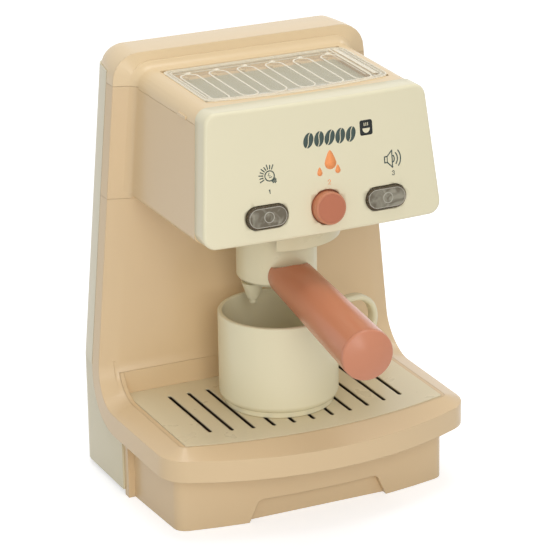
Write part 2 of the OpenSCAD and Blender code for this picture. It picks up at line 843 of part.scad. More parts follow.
module window_tray() color([0.62, 0.60, 0.50]) on_hood_top() {
    rim_w = 3;
    ledge_w = 10;
    // Rim under the window, walls and floor of the sunk well
    translate([0, 0, -ledge_drop]) linear_extrude(ledge_drop - rim_drop) difference() {
        window_area(0.1, 0.1);
        window_area(rim_w, rim_w);
    }
    translate([0, 0, -well_drop]) linear_extrude(well_drop - ledge_drop + 0.1) difference() {
        window_area(rim_w - tray_sheet, ledge_w - tray_sheet);
        window_area(rim_w, ledge_w);
    }
    translate([0, 0, -well_drop - tray_sheet]) linear_extrude(tray_sheet)
        window_area(rim_w - tray_sheet, ledge_w - tray_sheet);
    // Ledge behind the well
    translate([0, 0, -ledge_drop - tray_sheet]) linear_extrude(tray_sheet) difference() {
        window_area(0.1, 0.1);
        window_area(rim_w, ledge_w);
    }
    for (i = [0 : rib_count - 1]) translate([(i - (rib_count - 1) / 2) * rib_pitch, 0, 0]) {
        translate([0, -12 - window_l / 2 - 3.5, -well_drop]) linear_extrude(1.8) rotate(90)
            oblong(window_l - 18, 11);
        translate([0, -12 - 6.5, -ledge_drop - 0.1]) cylinder(r = 1.8, h = 1.4);
    }
}

// ---- Group, filter holder ----

module around_group() {
    translate([0, group_y, 0]) children();
}

// Ring sector between two radii; angle 0 points to the front and grows to the right
module ring_sector(r0, r1, h, start, angle) {
    rotate(start - 90) rotate_extrude(angle = angle) translate([r0, 0]) square([r1 - r0, h]);
}

module collar_plate() {
    difference() {
        slab(hood_z + wall + seam, collar_top) {
            around_group() circle(r = collar_plate_r);
            at_collar_screws() circle(r = collar_post_r + 2.4);
        }
        around_group() slab(hood_z, hood_z + 10) circle(r = basket_r + 1);
        at_collar_screws() slab(hood_z, hood_z + 10) circle(r = collar_post_r + seam);
        translate([-body_w, plateau_y - wall - 3 * seam, 0]) cube([2 * body_w, body_w, body_h]);
    }
}

module group_collar() color([0.75, 0.71, 0.58]) {
    collar_plate();
    around_group() {
        // Collar wall, open between the two sectors
        difference() {
            slab(collar_z, hood_z + wall + 2 * seam) circle(r = collar_r);
            slab(collar_z - 1, hood_z + 10) circle(r = collar_r - collar_wall);
            for (start = [sector_start, sector_start + 180]) translate([0, 0, collar_z - 1])
                ring_sector(collar_r - collar_wall - 1, collar_r + 1, hood_z - collar_z,
                    start + sector_angle, 180 - sector_angle);
        }
        // Ledges that carry the lugs
        for (start = [sector_start, sector_start + 180]) translate([0, 0, collar_z + eps])
            ring_sector(collar_r - collar_wall - 6, collar_r - collar_wall / 2, collar_ledge - eps,
                start + 0.2, sector_angle - 0.4);
    }
}

// Frame of the handle: +Z runs outward along the handle, +Y is up
module on_handle() {
    translate([0, group_y, handle_z]) rotate([0, 0, -handle_turn])
        rotate([90 + handle_droop, 0, 0]) children();
}

module collar_screws() color([0.75, 0.75, 0.77]) at_collar_screws()
    translate([0, 0, collar_top + seam]) screw(3.8);

module filter_basket() color([0.80, 0.77, 0.64]) around_group() difference() {
    union() {
        rotate_extrude() polygon([[0, basket_bottom - 2.3], [15, basket_bottom - 2.3],
            [basket_r - 0.8, basket_bottom], [basket_r, basket_bottom + 1.2],
            [basket_r, basket_top - 3], [basket_r - 0.6, basket_top], [0, basket_top]]);
        for (start = [20 - lug_angle / 2, 200 - lug_angle / 2])
            translate([0, 0, collar_z + collar_ledge + play])
                ring_sector(basket_r - 1, lug_r, lug_t, start, lug_angle);
        translate([0, -group_y, 0]) on_handle() translate([0, 0, basket_r - 3])
            cylinder(r = tang_r, h = tang_end - basket_r + 3);
    }
    translate([0, -group_y, 0]) on_handle() translate([0, 0, tang_end - tang_hole])
        cylinder(r = screw_hole_r, h = tang_hole + 1);
    translate([0, 0, basket_bottom]) cylinder(r = basket_r - basket_wall, h = 60);
    // Spout holes in the floor
    rotate(-handle_turn) pair(spout_x) translate([0, 0, basket_bottom - 10])
        cylinder(r = 2, h = 20);
}

module basket_spouts() color([0.80, 0.77, 0.64]) around_group() rotate(-handle_turn)
    pair(spout_x) rotate_extrude() polygon(concat([[2, basket_bottom - 2.3 - fit],
        [5.4, basket_bottom - 2.3 - fit]], arc(2.2, spout_tip + 3.3, 0.7, 0, -90, 3),
        [[1.7, spout_tip + 2.4]], arc(1.1, spout_tip + 0.6, 0.6, 0, -90, 3),
        [[0.8, spout_tip], [0.8, spout_tip + 3]]));

function handle_radius(s) = handle_r0 + (handle_r1 - handle_r0) * (s - 20) / (handle_l - 20);

module basket_handle() color([0.73, 0.49, 0.37]) on_handle() difference() {
    union() {
        rotate_extrude() polygon([[0, neck_s - 3], [handle_radius(neck_s) - 1.5, neck_s - 3],
            [handle_radius(neck_s), neck_s], [handle_radius(handle_l), handle_l],
            [0, handle_l]]);
        hull() {
            translate([0, 0, neck_s + 2]) cylinder(r = handle_radius(neck_s) - 0.1, h = 1,
                $fn = hull_fn);
            for (q = [[8.4, 2.2, 2.4], [5.2, -4.4, 5]])
                pair(q[0]) translate([0, q[1], basket_r + 1])
                    cylinder(r = q[2], h = 1, $fn = hull_fn);
        }
    }
    translate([0, 0, handle_l - 2]) cylinder(r = handle_r1 - 3, h = 3);
    translate([0, 0, basket_r - 1]) cylinder(r = tang_r + fit, h = tang_end - basket_r + 1 + seam);
    translate([0, 0, tang_end - 1]) cylinder(r = screw_hole_r + 0.1, h = handle_l);
    translate([0, 0, handle_seat]) cylinder(r = screw_head_r + 0.4, h = handle_l);
}

module handle_cap() color([0.76, 0.53, 0.42]) on_handle() {
    r = handle_r1 - 0.1;
    translate([0, 0, handle_l + seam]) rotate_extrude() polygon(concat(
        [[0, 0], [r, 0]], arc(r - 1.6, 0.9, 1.6, 0, 60, 3),
        [for (x = [r - 1.9 : -2 : 0]) [x, 5 - 2.9 * pow(x / r, 2)]], [[0, 5]]));
    translate([0, 0, handle_l - 1.6]) cylinder(r = handle_r1 - 3 - fit, h = 2);
}

module handle_screw() color([0.75, 0.75, 0.77]) on_handle()
    translate([0, 0, handle_seat + seam]) screw(handle_seat - tang_end + tang_hole - 1);

// ---- Cup, tray and grille ----

module cup() color([0.83, 0.80, 0.68]) translate([cup_x, cup_y, cup_z]) {
    difference() {
        union() {
            rotate_extrude() polygon(concat([[0, 0.6], [cup_r - 4.5, 0.6], [cup_r - 4.5, 0],
                [cup_r - 2.5, 0], [cup_r - 2.5, 2.6]], arc(cup_r - 4, 6.6, 4, -68, 0, 5),
                [[cup_r, cup_h - 0.8], [cup_r - 0.8, cup_h], [0, cup_h]]));
            // Handle to the right and a little back: two level arms and a half ring
            rotate(10) translate([cup_handle_x, 0, cup_handle_z]) rotate([90, 0, 0]) {
                rotate([0, 0, -90]) rotate_extrude(angle = 180)
                    translate([cup_handle_r, 0]) rotate(90) oblong(cup_handle_w, cup_handle_t);
                for (side = [-1, 1]) translate([0, side * cup_handle_r, 0]) rotate([0, -90, 0])
                    linear_extrude(cup_handle_x - cup_r + 1)
                        oblong(cup_handle_w, cup_handle_t);
            }
        }
        rotate_extrude() polygon(concat([[0, 3], [cup_r - cup_wall - 4, 3]],
            arc(cup_r - cup_wall - 4, 7, 4, -90, 0, 5), [[cup_r - cup_wall, cup_h + 1],
            [0, cup_h + 1]]));
    }
}

module tray_outline(d) {
    polygon(opening_plan(arc_y + eps, d));
    translate([-opening_half + d, arc_y]) square([2 * (opening_half - d), well_back - arc_y - d]);
}

module drip_tray() color([0.84, 0.79, 0.66]) {
    difference() {
        union() {
            slab(tray_floor, plateau_z) tray_outline(seam);
            // Cheeks and back that follow the sweep of the tower
            difference() {
                translate([-tray_half, arc_y, plateau_z - 1]) cube([2 * tray_half,
                    well_back - arc_y - seam, opening_top - seam - plateau_z + 1]);
                translate([-body_w, arc_y, arc_z]) rotate([0, 90, 0])
                    cylinder(r = plateau_r, h = 2 * body_w, $fn = 96);
            }
        }
        slab(tray_floor + tray_floor_t, opening_top + 1) intersection() {
            polygon(front_plan(grille_back - 1, grille_half - 1, grille_half - 1, 1,
                opening_front + 2, opening_front_r, 0));
            translate([-body_w, -base_front]) square([2 * body_w, grille_back + base_front - 1]);
        }
        slab(grille_z - grille_t - seam, opening_top + 1)
            polygon(front_plan(grille_back + seam, grille_half, grille_half, 1.6,
                opening_front + 1, opening_front_r, 0));
        // Back wall that leans to the upper edge of the opening
        across(grille_half) polygon([[arc_y, grille_z - 1], [grille_back + seam, grille_z - 1],
            [grille_back + seam, grille_z], [plateau_y - 1, opening_top],
            [plateau_y - 1, opening_top + 1], [arc_y, opening_top + 1]]);
    }
}

slot_back = 8.3;
slot_front = -54;
slot_bow = 171;
module drip_grille() color([0.86, 0.81, 0.67]) difference() {
    slab(grille_z - grille_t, grille_z) polygon(front_plan(grille_back, grille_half - seam,
        grille_half - seam, 1.5, opening_front + 1 + seam, opening_front_r, 0));
    for (i = [-5 : 5]) {
        x = i * slot_pitch;
        front = slot_front + x * x / (2 * slot_bow);
        translate([x, (slot_back + front) / 2, grille_z - 5]) linear_extrude(10) rotate(90)
            oblong(slot_back - front, slot_w);
    }
}

// ---- Battery base ----

module plate_outline() {
    polygon(skirt_plan(-1, wall + play));
    back = base_back - wall - 1.5;
    half = shell_half - wall - 1.5;
    translate([-half + 6, -2]) square([2 * (half - 6), 10]);
    translate([-half, shell_front + 1]) square([2 * half, back - back_corner_r - shell_front - 1]);
    translate([-half + 9, 10]) square([2 * (half - 9), back - 10]);
    pair(half - 9) translate([0, back - 9]) circle(r = 9);
    translate([-half, back - back_corner_r - 1]) square([2 * half, back_corner_r - 8 + 1]);
}

module door_outline(d) {
    translate([-door_half - d, door_front - d])
        square([2 * (door_half + d), door_back - door_front + 2 * d]);
}

module base_plate() color([0.78, 0.75, 0.63]) difference() {
    union() {
        slab(0, plate_t) plate_outline();
        for (front = [true, false]) at_base_screws(front) slab(0, socket_h) circle(r = boss_r + 1);
    }
    slab(-1, plate_t + 1) door_outline(door_play);
    slab(-1, plate_t + 1) intersection() {
        translate([-body_w, skirt_front - 5]) square([2 * body_w, recess_depth + 5 + wall + seam]);
        translate([-recess_half - 2 * wall, -body_h]) square([2 * recess_half + 4 * wall, body_h]);
    }
    for (front = [true, false]) at_base_screws(front) screw_socket();
}

module base_screws() color([0.75, 0.75, 0.77]) for (front = [true, false])
    at_base_screws(front) translate([0, 0, screw_head_h + 0.5]) rotate([180, 0, 0]) screw(14);

module battery_box() color([0.76, 0.73, 0.62]) {
    z0 = plate_t + seam;
    difference() {
        slab(z0, z0 + box_h + box_wall) translate([-box_in_l / 2 - box_wall, box_y - box_wall])
            square([box_in_l + 2 * box_wall, box_in_w + 2 * box_wall]);
        slab(z0 - 1, z0 + box_h) translate([-box_in_l / 2, box_y]) square([box_in_l, box_in_w]);
        translate([0, door_screw_y, 0]) cylinder(r = boss_r + 1, h = socket_h + play);
    }
    translate([0, door_screw_y, 0]) difference() {
        slab(socket_h + play, socket_h + 10) circle(r = boss_r);
        slab(0, socket_h + 9) circle(r = screw_hole_r);
    }
}

module at_cells() {
    for (i = [0 : cell_count - 1])
        translate([0, box_y + (i + 0.5) * cell_pitch, plate_t + seam + 0.7 + cell_d / 2])
            rotate([0, i % 2 == 0 ? 90 : -90, 0]) children();
}

module battery_cells() color([0.35, 0.42, 0.50]) at_cells() {
    translate([0, 0, -cell_l / 2]) cylinder(d = cell_d, h = cell_l - 1);
    translate([0, 0, cell_l / 2 - 1.1]) cylinder(d = 5.5, h = 1.1);
}

module battery_contacts() color([0.80, 0.80, 0.78]) at_cells() {
    translate([-4, -4, cell_l / 2 + 0.1]) cube([8, 8, 0.4]);
    translate([-4, -4, -box_in_l / 2 + 0.1]) cube([8, 8, 0.4]);
    for (k = [0 : 2]) translate([0, 0, -box_in_l / 2 + 0.5 + k * 0.8])
        rotate_extrude() translate([3.2 - 0.4 * k, 0.4]) circle(r = 0.45, $fn = 16);
}

module battery_door() color([0.76, 0.73, 0.61]) difference() {
    union() {
        slab(0, plate_t - 0.2) door_outline(0);
        translate([0, door_screw_y, 0]) cylinder(r = boss_r + 0.4, h = socket_h);
    }
    translate([0, door_screw_y, 0]) screw_socket();
}

module battery_door_screw() color([0.75, 0.75, 0.77])
    translate([0, door_screw_y, screw_head_h + 0.5]) rotate([180, 0, 0]) screw(10);

// ---- Speaker ----

module on_speaker() {
    translate([0, speaker_back - seam, speaker_z]) rotate([90, 0, 0]) children();
}

module speaker_frame() color([0.30, 0.30, 0.32]) on_speaker() rotate_extrude()
    polygon([[speaker_r - 3, 0], [speaker_r, 0], [speaker_r, 2.5], [speaker_r - 2, 2.5],
        [11, 9], [9, 9], [9, 8], [speaker_r - 3.4, 1.8]]);

module speaker_cone() color([0.12, 0.12, 0.13]) on_speaker() rotate_extrude()
    polygon([[0, 2.4], [4, 3.4], [9, 6.6], [speaker_r - 3.6, 0.8], [speaker_r - 3.6, 1.5],
        [9.4, 7.4], [4, 4.2], [0, 3.2]]);

module speaker_magnet() color([0.45, 0.45, 0.47]) on_speaker() translate([0, 0, 9.1]) {
    cylinder(r = 11, h = 1.2);
    translate([0, 0, 1.1]) cylinder(r = 9, h = 4.5);
}

module tower_screws() color([0.75, 0.75, 0.77]) at_tower_screws(tower_screw_z)
    translate([0, tower_screw_seat, 0]) rotate([-90, 0, 0]) screw(tower_screw_l);

front_frame();
rear_housing();
top_cover();
head_housing();
front_panel();
window_tray();
top_window();
brew_button();
light_button();
sound_button();
brew_plunger();
light_plunger();
sound_plunger();
switch_bodies();
button_leds();
control_board();
group_collar();
filter_basket();
basket_spouts();
basket_handle();
handle_cap();
handle_screw();
drip_tray();
drip_grille();
cup();
base_plate();
battery_box();
battery_cells();
battery_contacts();
battery_door();
battery_door_screw();
speaker_frame();
speaker_cone();
speaker_magnet();
tower_screws();
base_screws();
board_screws();
collar_screws();
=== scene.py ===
"""Toy coffee maker: finishes, rounded edges, prints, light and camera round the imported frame.

Sizes of the toy are in millimetres, and angles in degrees, unless a docstring says otherwise.
"""

import logging
import math
from dataclasses import dataclass, field
from enum import Enum

import bmesh
import bpy
from mathutils import Matrix, Vector
from mathutils.geometry import tessellate_polygon


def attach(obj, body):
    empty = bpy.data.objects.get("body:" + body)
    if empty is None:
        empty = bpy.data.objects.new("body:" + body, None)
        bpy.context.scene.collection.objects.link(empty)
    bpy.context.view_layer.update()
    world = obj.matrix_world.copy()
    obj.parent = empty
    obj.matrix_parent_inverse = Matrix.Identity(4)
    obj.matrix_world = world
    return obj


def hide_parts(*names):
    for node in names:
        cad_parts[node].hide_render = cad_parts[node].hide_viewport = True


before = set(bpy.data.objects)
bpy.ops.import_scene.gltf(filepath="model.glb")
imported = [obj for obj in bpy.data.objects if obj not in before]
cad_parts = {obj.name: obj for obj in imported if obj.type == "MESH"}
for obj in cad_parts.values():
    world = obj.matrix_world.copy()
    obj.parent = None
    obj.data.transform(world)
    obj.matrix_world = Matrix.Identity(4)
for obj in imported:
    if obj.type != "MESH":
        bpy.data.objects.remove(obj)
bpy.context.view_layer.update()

MM = 0.001
LOG = logging.getLogger("toy_coffee_maker")

PLASTIC_IOR = 1.47
CLEAR_IOR = 1.49
METAL_IOR = 1.5
WELD_MM = 0.002
SAME_POINT_MM = 0.001
FLAT_DEGREES = 0.4
LEAST_ROUND_MM = 0.02
WIDE_ROUND_MM = 0.3
WHITE = (1.0, 1.0, 1.0, 1.0)
UNIT = (0.0, 1.0)

Point = tuple[float, float, float]
Flat = tuple[float, float]
Rgb = tuple[int, int, int]
Shade = tuple[float, float, float, float]
Socket = bpy.types.NodeSocket


class Body(Enum):
    """Moving bodies of the toy, by the names of the frame."""

    HOUSING = "housing"
    BREW = "brew_button_body"
    LIGHT = "light_button_body"
    SOUND = "sound_button_body"
    HOLDER = "filter_holder"
    CUP = "cup_body"
    DOOR = "battery_door_body"


def linear(value: int) -> float:
    """Gives the linear value of one 8-bit colour channel."""
    c = value / 255
    return c / 12.92 if c <= 0.04045 else ((c + 0.055) / 1.055) ** 2.4


def shade(colour: Rgb, factor: float = 1.0) -> Shade:
    """Gives a linear colour for a shader socket."""
    r, g, b = (min(1.0, linear(c) * factor) for c in colour)
    return (r, g, b, 1.0)


# ---- Finishes ----


class Bench:
    """The nodes of one material while its finish is mixed."""

    def __init__(self, name: str, ior: float) -> None:
        """Starts a material.

        Args:
            name: The finish's name.
            ior: How strongly its surface bends light.
        """
        self.material = bpy.data.materials.new(f"{name}_finish")
        self.material.use_nodes = True
        tree = self.material.node_tree
        self.nodes, self.links = tree.nodes, tree.links
        self.shader = tree.nodes["Principled BSDF"].inputs
        self.shader["IOR"].default_value = ior
        self.place = tree.nodes.new("ShaderNodeTexCoord").outputs["Object"]

    def noise(self, scale: float, detail: float, distortion: float = 0.0) -> Socket:
        """Adds a noise over the piece.

        Args:
            scale: Its scale per metre.
            detail: Its levels of detail.
            distortion: How far it is bent.

        Returns:
            The socket with its value.
        """
        noise = self.nodes.new("ShaderNodeTexNoise")
        for key, number in (("Scale", scale), ("Detail", detail), ("Distortion", distortion)):
            noise.inputs[key].default_value = number
        self.links.new(self.place, noise.inputs["Vector"])
        return noise.outputs["Fac"]

    def spread(self, value: Socket, source: Flat, target: Flat) -> Socket:
        """Takes a value from one range to another.

        Args:
            value: The socket of the value.
            source: The range that it comes from.
            target: The range that it goes to.

        Returns:
            The socket with the new value.
        """
        span = self.nodes.new("ShaderNodeMapRange")
        keys = ("From Min", "From Max", "To Min", "To Max")
        for key, number in zip(keys, source + target):
            span.inputs[key].default_value = number
        self.links.new(value, span.inputs["Value"])
        return span.outputs["Result"]

    def blend(self, share: Socket, first: Shade | Socket, second: Shade | Socket) -> Socket:
        """Mixes two colours.

        Args:
            share: The socket with the share of the second colour.
            first: The first colour or its socket.
            second: The second colour or its socket.

        Returns:
            The socket with the mixed colour.
        """
        tone = self.nodes.new("ShaderNodeMix")
        tone.data_type = "RGBA"
        self.links.new(share, tone.inputs[0])
        for number, colour in ((6, first), (7, second)):
            if isinstance(colour, tuple):
                tone.inputs[number].default_value = colour
            else:
                self.links.new(colour, tone.inputs[number])
        return tone.outputs[2]

    def finish(self, colour: Socket | None, sheen: Socket, grain: Socket, depth: float,
               strength: float = 1.0, soft_edge: float = 0.0) -> bpy.types.Material:
        """Joins the shader's colour, sheen and grain.

        Args:
            colour: The socket of the colour, or None where it is even.
            sheen: The socket of the roughness.
            grain: The socket of the grain's height.
            depth: The grain's depth in millimetres.
            strength: How strongly the grain shows.
            soft_edge: The radius to which edges are shaded soft, in millimetres.

        Returns:
            The material.
        """
        if colour:
            self.links.new(colour, self.shader["Base Color"])
        self.links.new(sheen, self.shader["Roughness"])
        bump = self.nodes.new("ShaderNodeBump")
        bump.inputs["Distance"].default_value = depth * MM
        bump.inputs["Strength"].default_value = strength
        self.links.new(grain, bump.inputs["Height"])
        if soft_edge > 0:
            edge = self.nodes.new("ShaderNodeBevel")
            edge.samples = 4
            edge.inputs["Radius"].default_value = soft_edge * MM
            self.links.new(edge.outputs["Normal"], bump.inputs["Normal"])
        self.links.new(bump.outputs["Normal"], self.shader["Normal"])
        return self.material


@dataclass(frozen=True)
class Moulded:
    """Injection-moulded plastic: a soft sheen, faint flow marks and a fine spark-eroded grain.

    Below a set height the colour darkens: painted shade, standing in for the shadow deep in narrow
    slots.
    """

    name: str
    colour: Rgb
    roughness: float = 0.42
    gloss: float = 0.34
    mottle: float = 0.014
    mottle_size: float = 40.0
    grain: float = 0.012
    grain_size: float = 0.9
    grain_strength: float = 0.5
    soft_edge: float = 0.5
    sheen_spread: float = 0.02
    painted_shade_below: float = 0.0
    painted_shade_fade: float = 0.7
    # Colour of the painted shade below the set height.
    dark: Rgb = (46, 32, 24)

    def make(self) -> bpy.types.Material:
        """Builds the material.

        Returns:
            The material.
        """
        bench = Bench(self.name, PLASTIC_IOR)
        bench.shader["Specular IOR Level"].default_value = self.gloss
        flow = bench.noise(1 / (self.mottle_size * MM), 3.0)
        colour = bench.blend(flow, shade(self.colour, 1 - self.mottle),
                             shade(self.colour, 1 + self.mottle))
        # Painted shade: below the set height the colour fades to the shade colour, as the shadow
        # in slots.
        if self.painted_shade_below > 0:
            height = bench.nodes.new("ShaderNodeSeparateXYZ")
            bench.links.new(bench.place, height.inputs["Vector"])
            fade = ((self.painted_shade_below - self.painted_shade_fade) * MM, self.painted_shade_below * MM)
            depth = bench.spread(height.outputs["Z"], fade, UNIT)
            colour = bench.blend(depth, shade(self.dark), colour)
        patches = bench.noise(3 / (self.mottle_size * MM), 4.0)
        sheen = bench.spread(patches, UNIT, (self.roughness - self.sheen_spread,
                                             self.roughness + self.sheen_spread))
        grain = bench.noise(1 / (self.grain_size * MM), 2.0)
        return bench.finish(colour, sheen, grain, self.grain, self.grain_strength,
                            self.soft_edge)


@dataclass(frozen=True)
class Clear:
    """Clear moulded plastic with faint waves in its surface, and, where a second colour is given,
    lighter streaks painted on as glints.
    """

    name: str
    tint: Rgb = (240, 236, 222)
    veil: float = 0.16
    roughness: float = 0.08
    sheen_share: Flat = (0.6, 1.6)
    sheen_scale: float = 120.0
    wave: float = 0.02
    wave_scale: float = 90.0
    # Colour of the painted glints: lighter streaks that stand in for light caught in the clear
    # plastic.
    streak: Rgb | None = None
    glint_size: float = 3.2
    glint_bend: float = 0.9
    glint_range: Flat = (0.42, 0.62)

    def make(self) -> bpy.types.Material:
        """Builds the material.

        Returns:
            The material.
        """
        bench = Bench(self.name, CLEAR_IOR)
        bench.shader["Base Color"].default_value = shade(self.tint)
        bench.shader["Alpha"].default_value = self.veil
        colour = None
        # Painted glints: noise mixes lighter streaks into the tint.
        if self.streak:
            streaks = bench.noise(1 / (self.glint_size * MM), 2.0, self.glint_bend)
            share = bench.spread(streaks, self.glint_range, UNIT)
            colour = bench.blend(share, shade(self.tint), shade(self.streak))
        low, high = (self.roughness * share for share in self.sheen_share)
        sheen = bench.spread(bench.noise(self.sheen_scale, 3.0), UNIT, (low, high))
        return bench.finish(colour, sheen, bench.noise(self.wave_scale, 2.0), self.wave)


@dataclass(frozen=True)
class Metal:
    """Bare or plated metal with fine drawn streaks."""

    name: str
    colour: Rgb = (196, 196, 200)
    tone_range: Flat = (0.86, 1.08)
    tone_scale: float = 700.0
    roughness: float = 0.32
    sheen_share: Flat = (0.8, 1.3)
    sheen_scale: float = 1500.0
    streak: float = 0.02
    streak_scale: float = 2500.0

    def make(self) -> bpy.types.Material:
        """Builds the material.

        Returns:
            The material.
        """
        bench = Bench(self.name, METAL_IOR)
        bench.shader["Metallic"].default_value = 1.0
        dull, bright = (shade(self.colour, factor) for factor in self.tone_range)
        colour = bench.blend(bench.noise(self.tone_scale, 3.0), dull, bright)
        low, high = (self.roughness * share for share in self.sheen_share)
        sheen = bench.spread(bench.noise(self.sheen_scale, 2.0), UNIT, (low, high))
        return bench.finish(colour, sheen, bench.noise(self.streak_scale, 2.0), self.streak)


BEIGE = Moulded("beige_plastic", (225, 198, 157), roughness=0.23)
# A lighter copy of the same beige for the top cover and the window's tray: painted light on the
# top surfaces.
BEIGE_LIT_TOP = Moulded("beige_cover_painted_light", (232, 207, 166), roughness=0.23)
CREAM = Moulded("cream_plastic", (222, 212, 180), roughness=0.32)
IVORY = Moulded("ivory_plastic", (226, 218, 184), roughness=0.28)
PANEL = Moulded("panel_plastic", (234, 226, 194), roughness=0.26)
# The grille's slot walls get painted shade below 48.3 mm.
STONE = Moulded("stone_plastic", (230, 217, 183), roughness=0.28, painted_shade_below=48.3)
CUP = Moulded("cup_plastic", (232, 224, 191), roughness=0.26)
TERRACOTTA = Moulded("terracotta_plastic", (200, 130, 97), roughness=0.24, mottle=0.02)
# A darker copy of the terracotta for the round button's face: painted shade; its slightly higher
# roughness is real.
SHADED_BUTTON_FACE = Moulded("button_face_painted_shade", (190, 117, 88), roughness=0.3, mottle=0.02)
TERRACOTTA_CAP = Moulded("terracotta_cap_plastic", (202, 134, 103), roughness=0.26)
GREY_TRAY = Moulded("grey_tray_plastic", (176, 170, 140), roughness=0.3, grain=0.03)
DARK = Moulded("dark_plastic", (38, 38, 40), roughness=0.45, soft_edge=0.0)
BOARD = Moulded("board_laminate", (46, 104, 62), roughness=0.35, soft_edge=0.0)
LED = Moulded("led_resin", (238, 236, 224), roughness=0.2, soft_edge=0.0)
JACKET = Moulded("cell_jacket_film", (72, 96, 128), roughness=0.3, soft_edge=0.0)
PAPER = Moulded("speaker_paper", (44, 42, 42), roughness=0.9, grain=0.15, soft_edge=0.0)
CLEAR = Clear("clear_plastic")
# Paler, less clear copy for the window's edges, ribs and studs: painted highlights, as light
# caught on clear edges.
CLEAR_EDGE_HIGHLIGHT = Clear("clear_edge_painted_highlight", (248, 240, 220), veil=0.62)
LENS = Clear("smoky_clear_plastic", (122, 106, 82), veil=0.45)
# The lens face carries painted glints as lighter streaks.
LENS_FACE = Clear("lens_face_painted_glints", (124, 115, 96), veil=0.7, streak=(176, 171, 152),
                  glint_size=6.5)
# Paler copy for the lens buttons' edge and boss rings: painted highlights on clear edges.
LENS_EDGE_HIGHLIGHT = Clear("lens_edge_painted_highlight", (220, 216, 200), veil=0.6)
SCREW = Metal("screw_steel", (176, 176, 182))
CONTACT = Metal("contact_steel", (206, 206, 204), roughness=0.24)
IRON = Metal("magnet_iron", (112, 112, 118), roughness=0.5)
SLATE_INK = Moulded("slate_ink", (68, 84, 78), roughness=0.5, grain=0.01, soft_edge=0.0)
DARK_INK = Moulded("dark_ink", (28, 32, 30), roughness=0.5, grain=0.01, soft_edge=0.0)
ORANGE_INK = Moulded("orange_ink", (250, 160, 98), roughness=0.5, grain=0.01, soft_edge=0.0)

Finish = Moulded | Clear | Metal
MADE: dict[str, bpy.types.Material] = {}


def material_of(finish: Finish) -> bpy.types.Material:
    """Gives a finish's material, which is made once.

    Args:
        finish: The finish.

    Returns:
        Its material.
    """
    if finish.name not in MADE:
        MADE[finish.name] = finish.make()
    return MADE[finish.name]


# ---- Mesh tools ----


def dress_nodes(finish: Finish, *names: str, round_mm: float = 0.0, degrees: float = 32.0) -> None:
    """Gives nodes of the frame their finish and, where asked, rounded edges.

    Args:
        finish: The finish to give them.
        names: The nodes' names.
        round_mm: The width of the rounding of their sharp edges, in millimetres.
        degrees: Edges that turn by more than this count as sharp.
    """
    for name in names:
        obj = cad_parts[name]
        mesh = obj.data
        if "custom_normal" in mesh.attributes:
            mesh.attributes.remove(mesh.attributes["custom_normal"])
        mesh.materials.clear()
        mesh.materials.append(material_of(finish))
        for poly in mesh.polygons:
            poly.use_smooth = True
            poly.material_index = 0
        weld = obj.modifiers.new("join_faces", "WELD")
        weld.merge_threshold = WELD_MM * MM
        flat = obj.modifiers.new("merge_flats", "DECIMATE")
        flat.decimate_type = "DISSOLVE"
        flat.angle_limit = math.radians(FLAT_DEGREES)
        bevel = obj.modifiers.new("round_edges", "BEVEL")
        bevel.width = max(round_mm, LEAST_ROUND_MM) * MM
        bevel.segments = 3 if round_mm > WIDE_ROUND_MM else 1
        bevel.limit_method = "ANGLE"
        bevel.angle_limit = math.radians(degrees)
        bevel.harden_normals = True
        bevel.use_clamp_overlap = True
        LOG.info("node %s in %s", name, finish.name)


@dataclass
class Skin:
    """Points and faces of a piece while it is built, in millimetres."""

    points: list[Point] = field(default_factory=list)
    faces: list[tuple[int, ...]] = field(default_factory=list)

    def ring(self, points: list[Point]) -> list[int]:
        """Adds points.

        Args:
            points: The points.

        Returns:
            Their numbers.
        """
        first = len(self.points)
        self.points.extend(points)
        return list(range(first, len(self.points)))

    def bridge(self, one: list[int], other: list[int]) -> None:
        """Joins two closed rings with a band of faces.

        Args:
            one: The numbers of one ring's points.
            other: The numbers of the other ring's points.
        """
        n = len(one)
        for i in range(n):
            j = (i + 1) % n
            self.faces.append((one[i], one[j], other[j], other[i]))

    def loft(self, rings: list[list[Point]], capped: bool = True) -> None:
        """Runs a skin through a row of rings.

        Args:
            rings: Closed rings with equal numbers of points.
            capped: Whether its two ends are closed.
        """
        numbers = [self.ring(points) for points in rings]
        for one, other in zip(numbers, numbers[1:]):
            self.bridge(one, other)
        if capped:
            self.faces.append(tuple(reversed(numbers[0])))
            self.faces.append(tuple(numbers[-1]))

    def lathe(self, profile: list[Flat], steps: int = 96) -> None:
        """Turns a profile round the Z axis.

        Args:
            profile: Pairs of radius and height, from the axis back to the axis.
            steps: The number of steps in a full turn.
        """
        rings = []
        for radius, z in profile[1:-1]:
            rings.append(self.ring([(radius * math.cos(a), radius * math.sin(a), z)
                                    for a in turns(steps)]))
        for one, other in zip(rings, rings[1:]):
            self.bridge(one, other)
        for (_, z), ring in ((profile[0], rings[0]), (profile[-1], rings[-1])):
            tip = self.ring([(0.0, 0.0, z)])[0]
            for i in range(steps):
                self.faces.append((ring[i], ring[(i + 1) % steps], tip))

    def join(self, other: "Skin") -> None:
        """Adds another skin to this one.

        Args:
            other: The skin to add.
        """
        first = len(self.points)
        self.points += other.points
        self.faces += [tuple(first + i for i in face) for face in other.faces]

    def ridge(self, outer: list[Flat], inner: list[Flat], low: float, high: float) -> None:
        """Adds a closed ridge between two outlines of equal numbers of points.

        Args:
            outer: Its outer outline.
            inner: Its inner outline.
            low: The height of its foot.
            high: The height of its top.
        """
        rows = []
        for line, z in ((outer, low), (outer, high), (inner, high), (inner, low)):
            rows.append(self.ring(at_height(line, z)))
        for one, other in zip(rows, rows[1:] + rows[:1]):
            self.bridge(one, other)

    def moved(self, matrix: Matrix) -> "Skin":
        """Gives the same skin after a move."""
        return Skin([tuple(matrix @ Vector(q)) for q in self.points], list(self.faces))


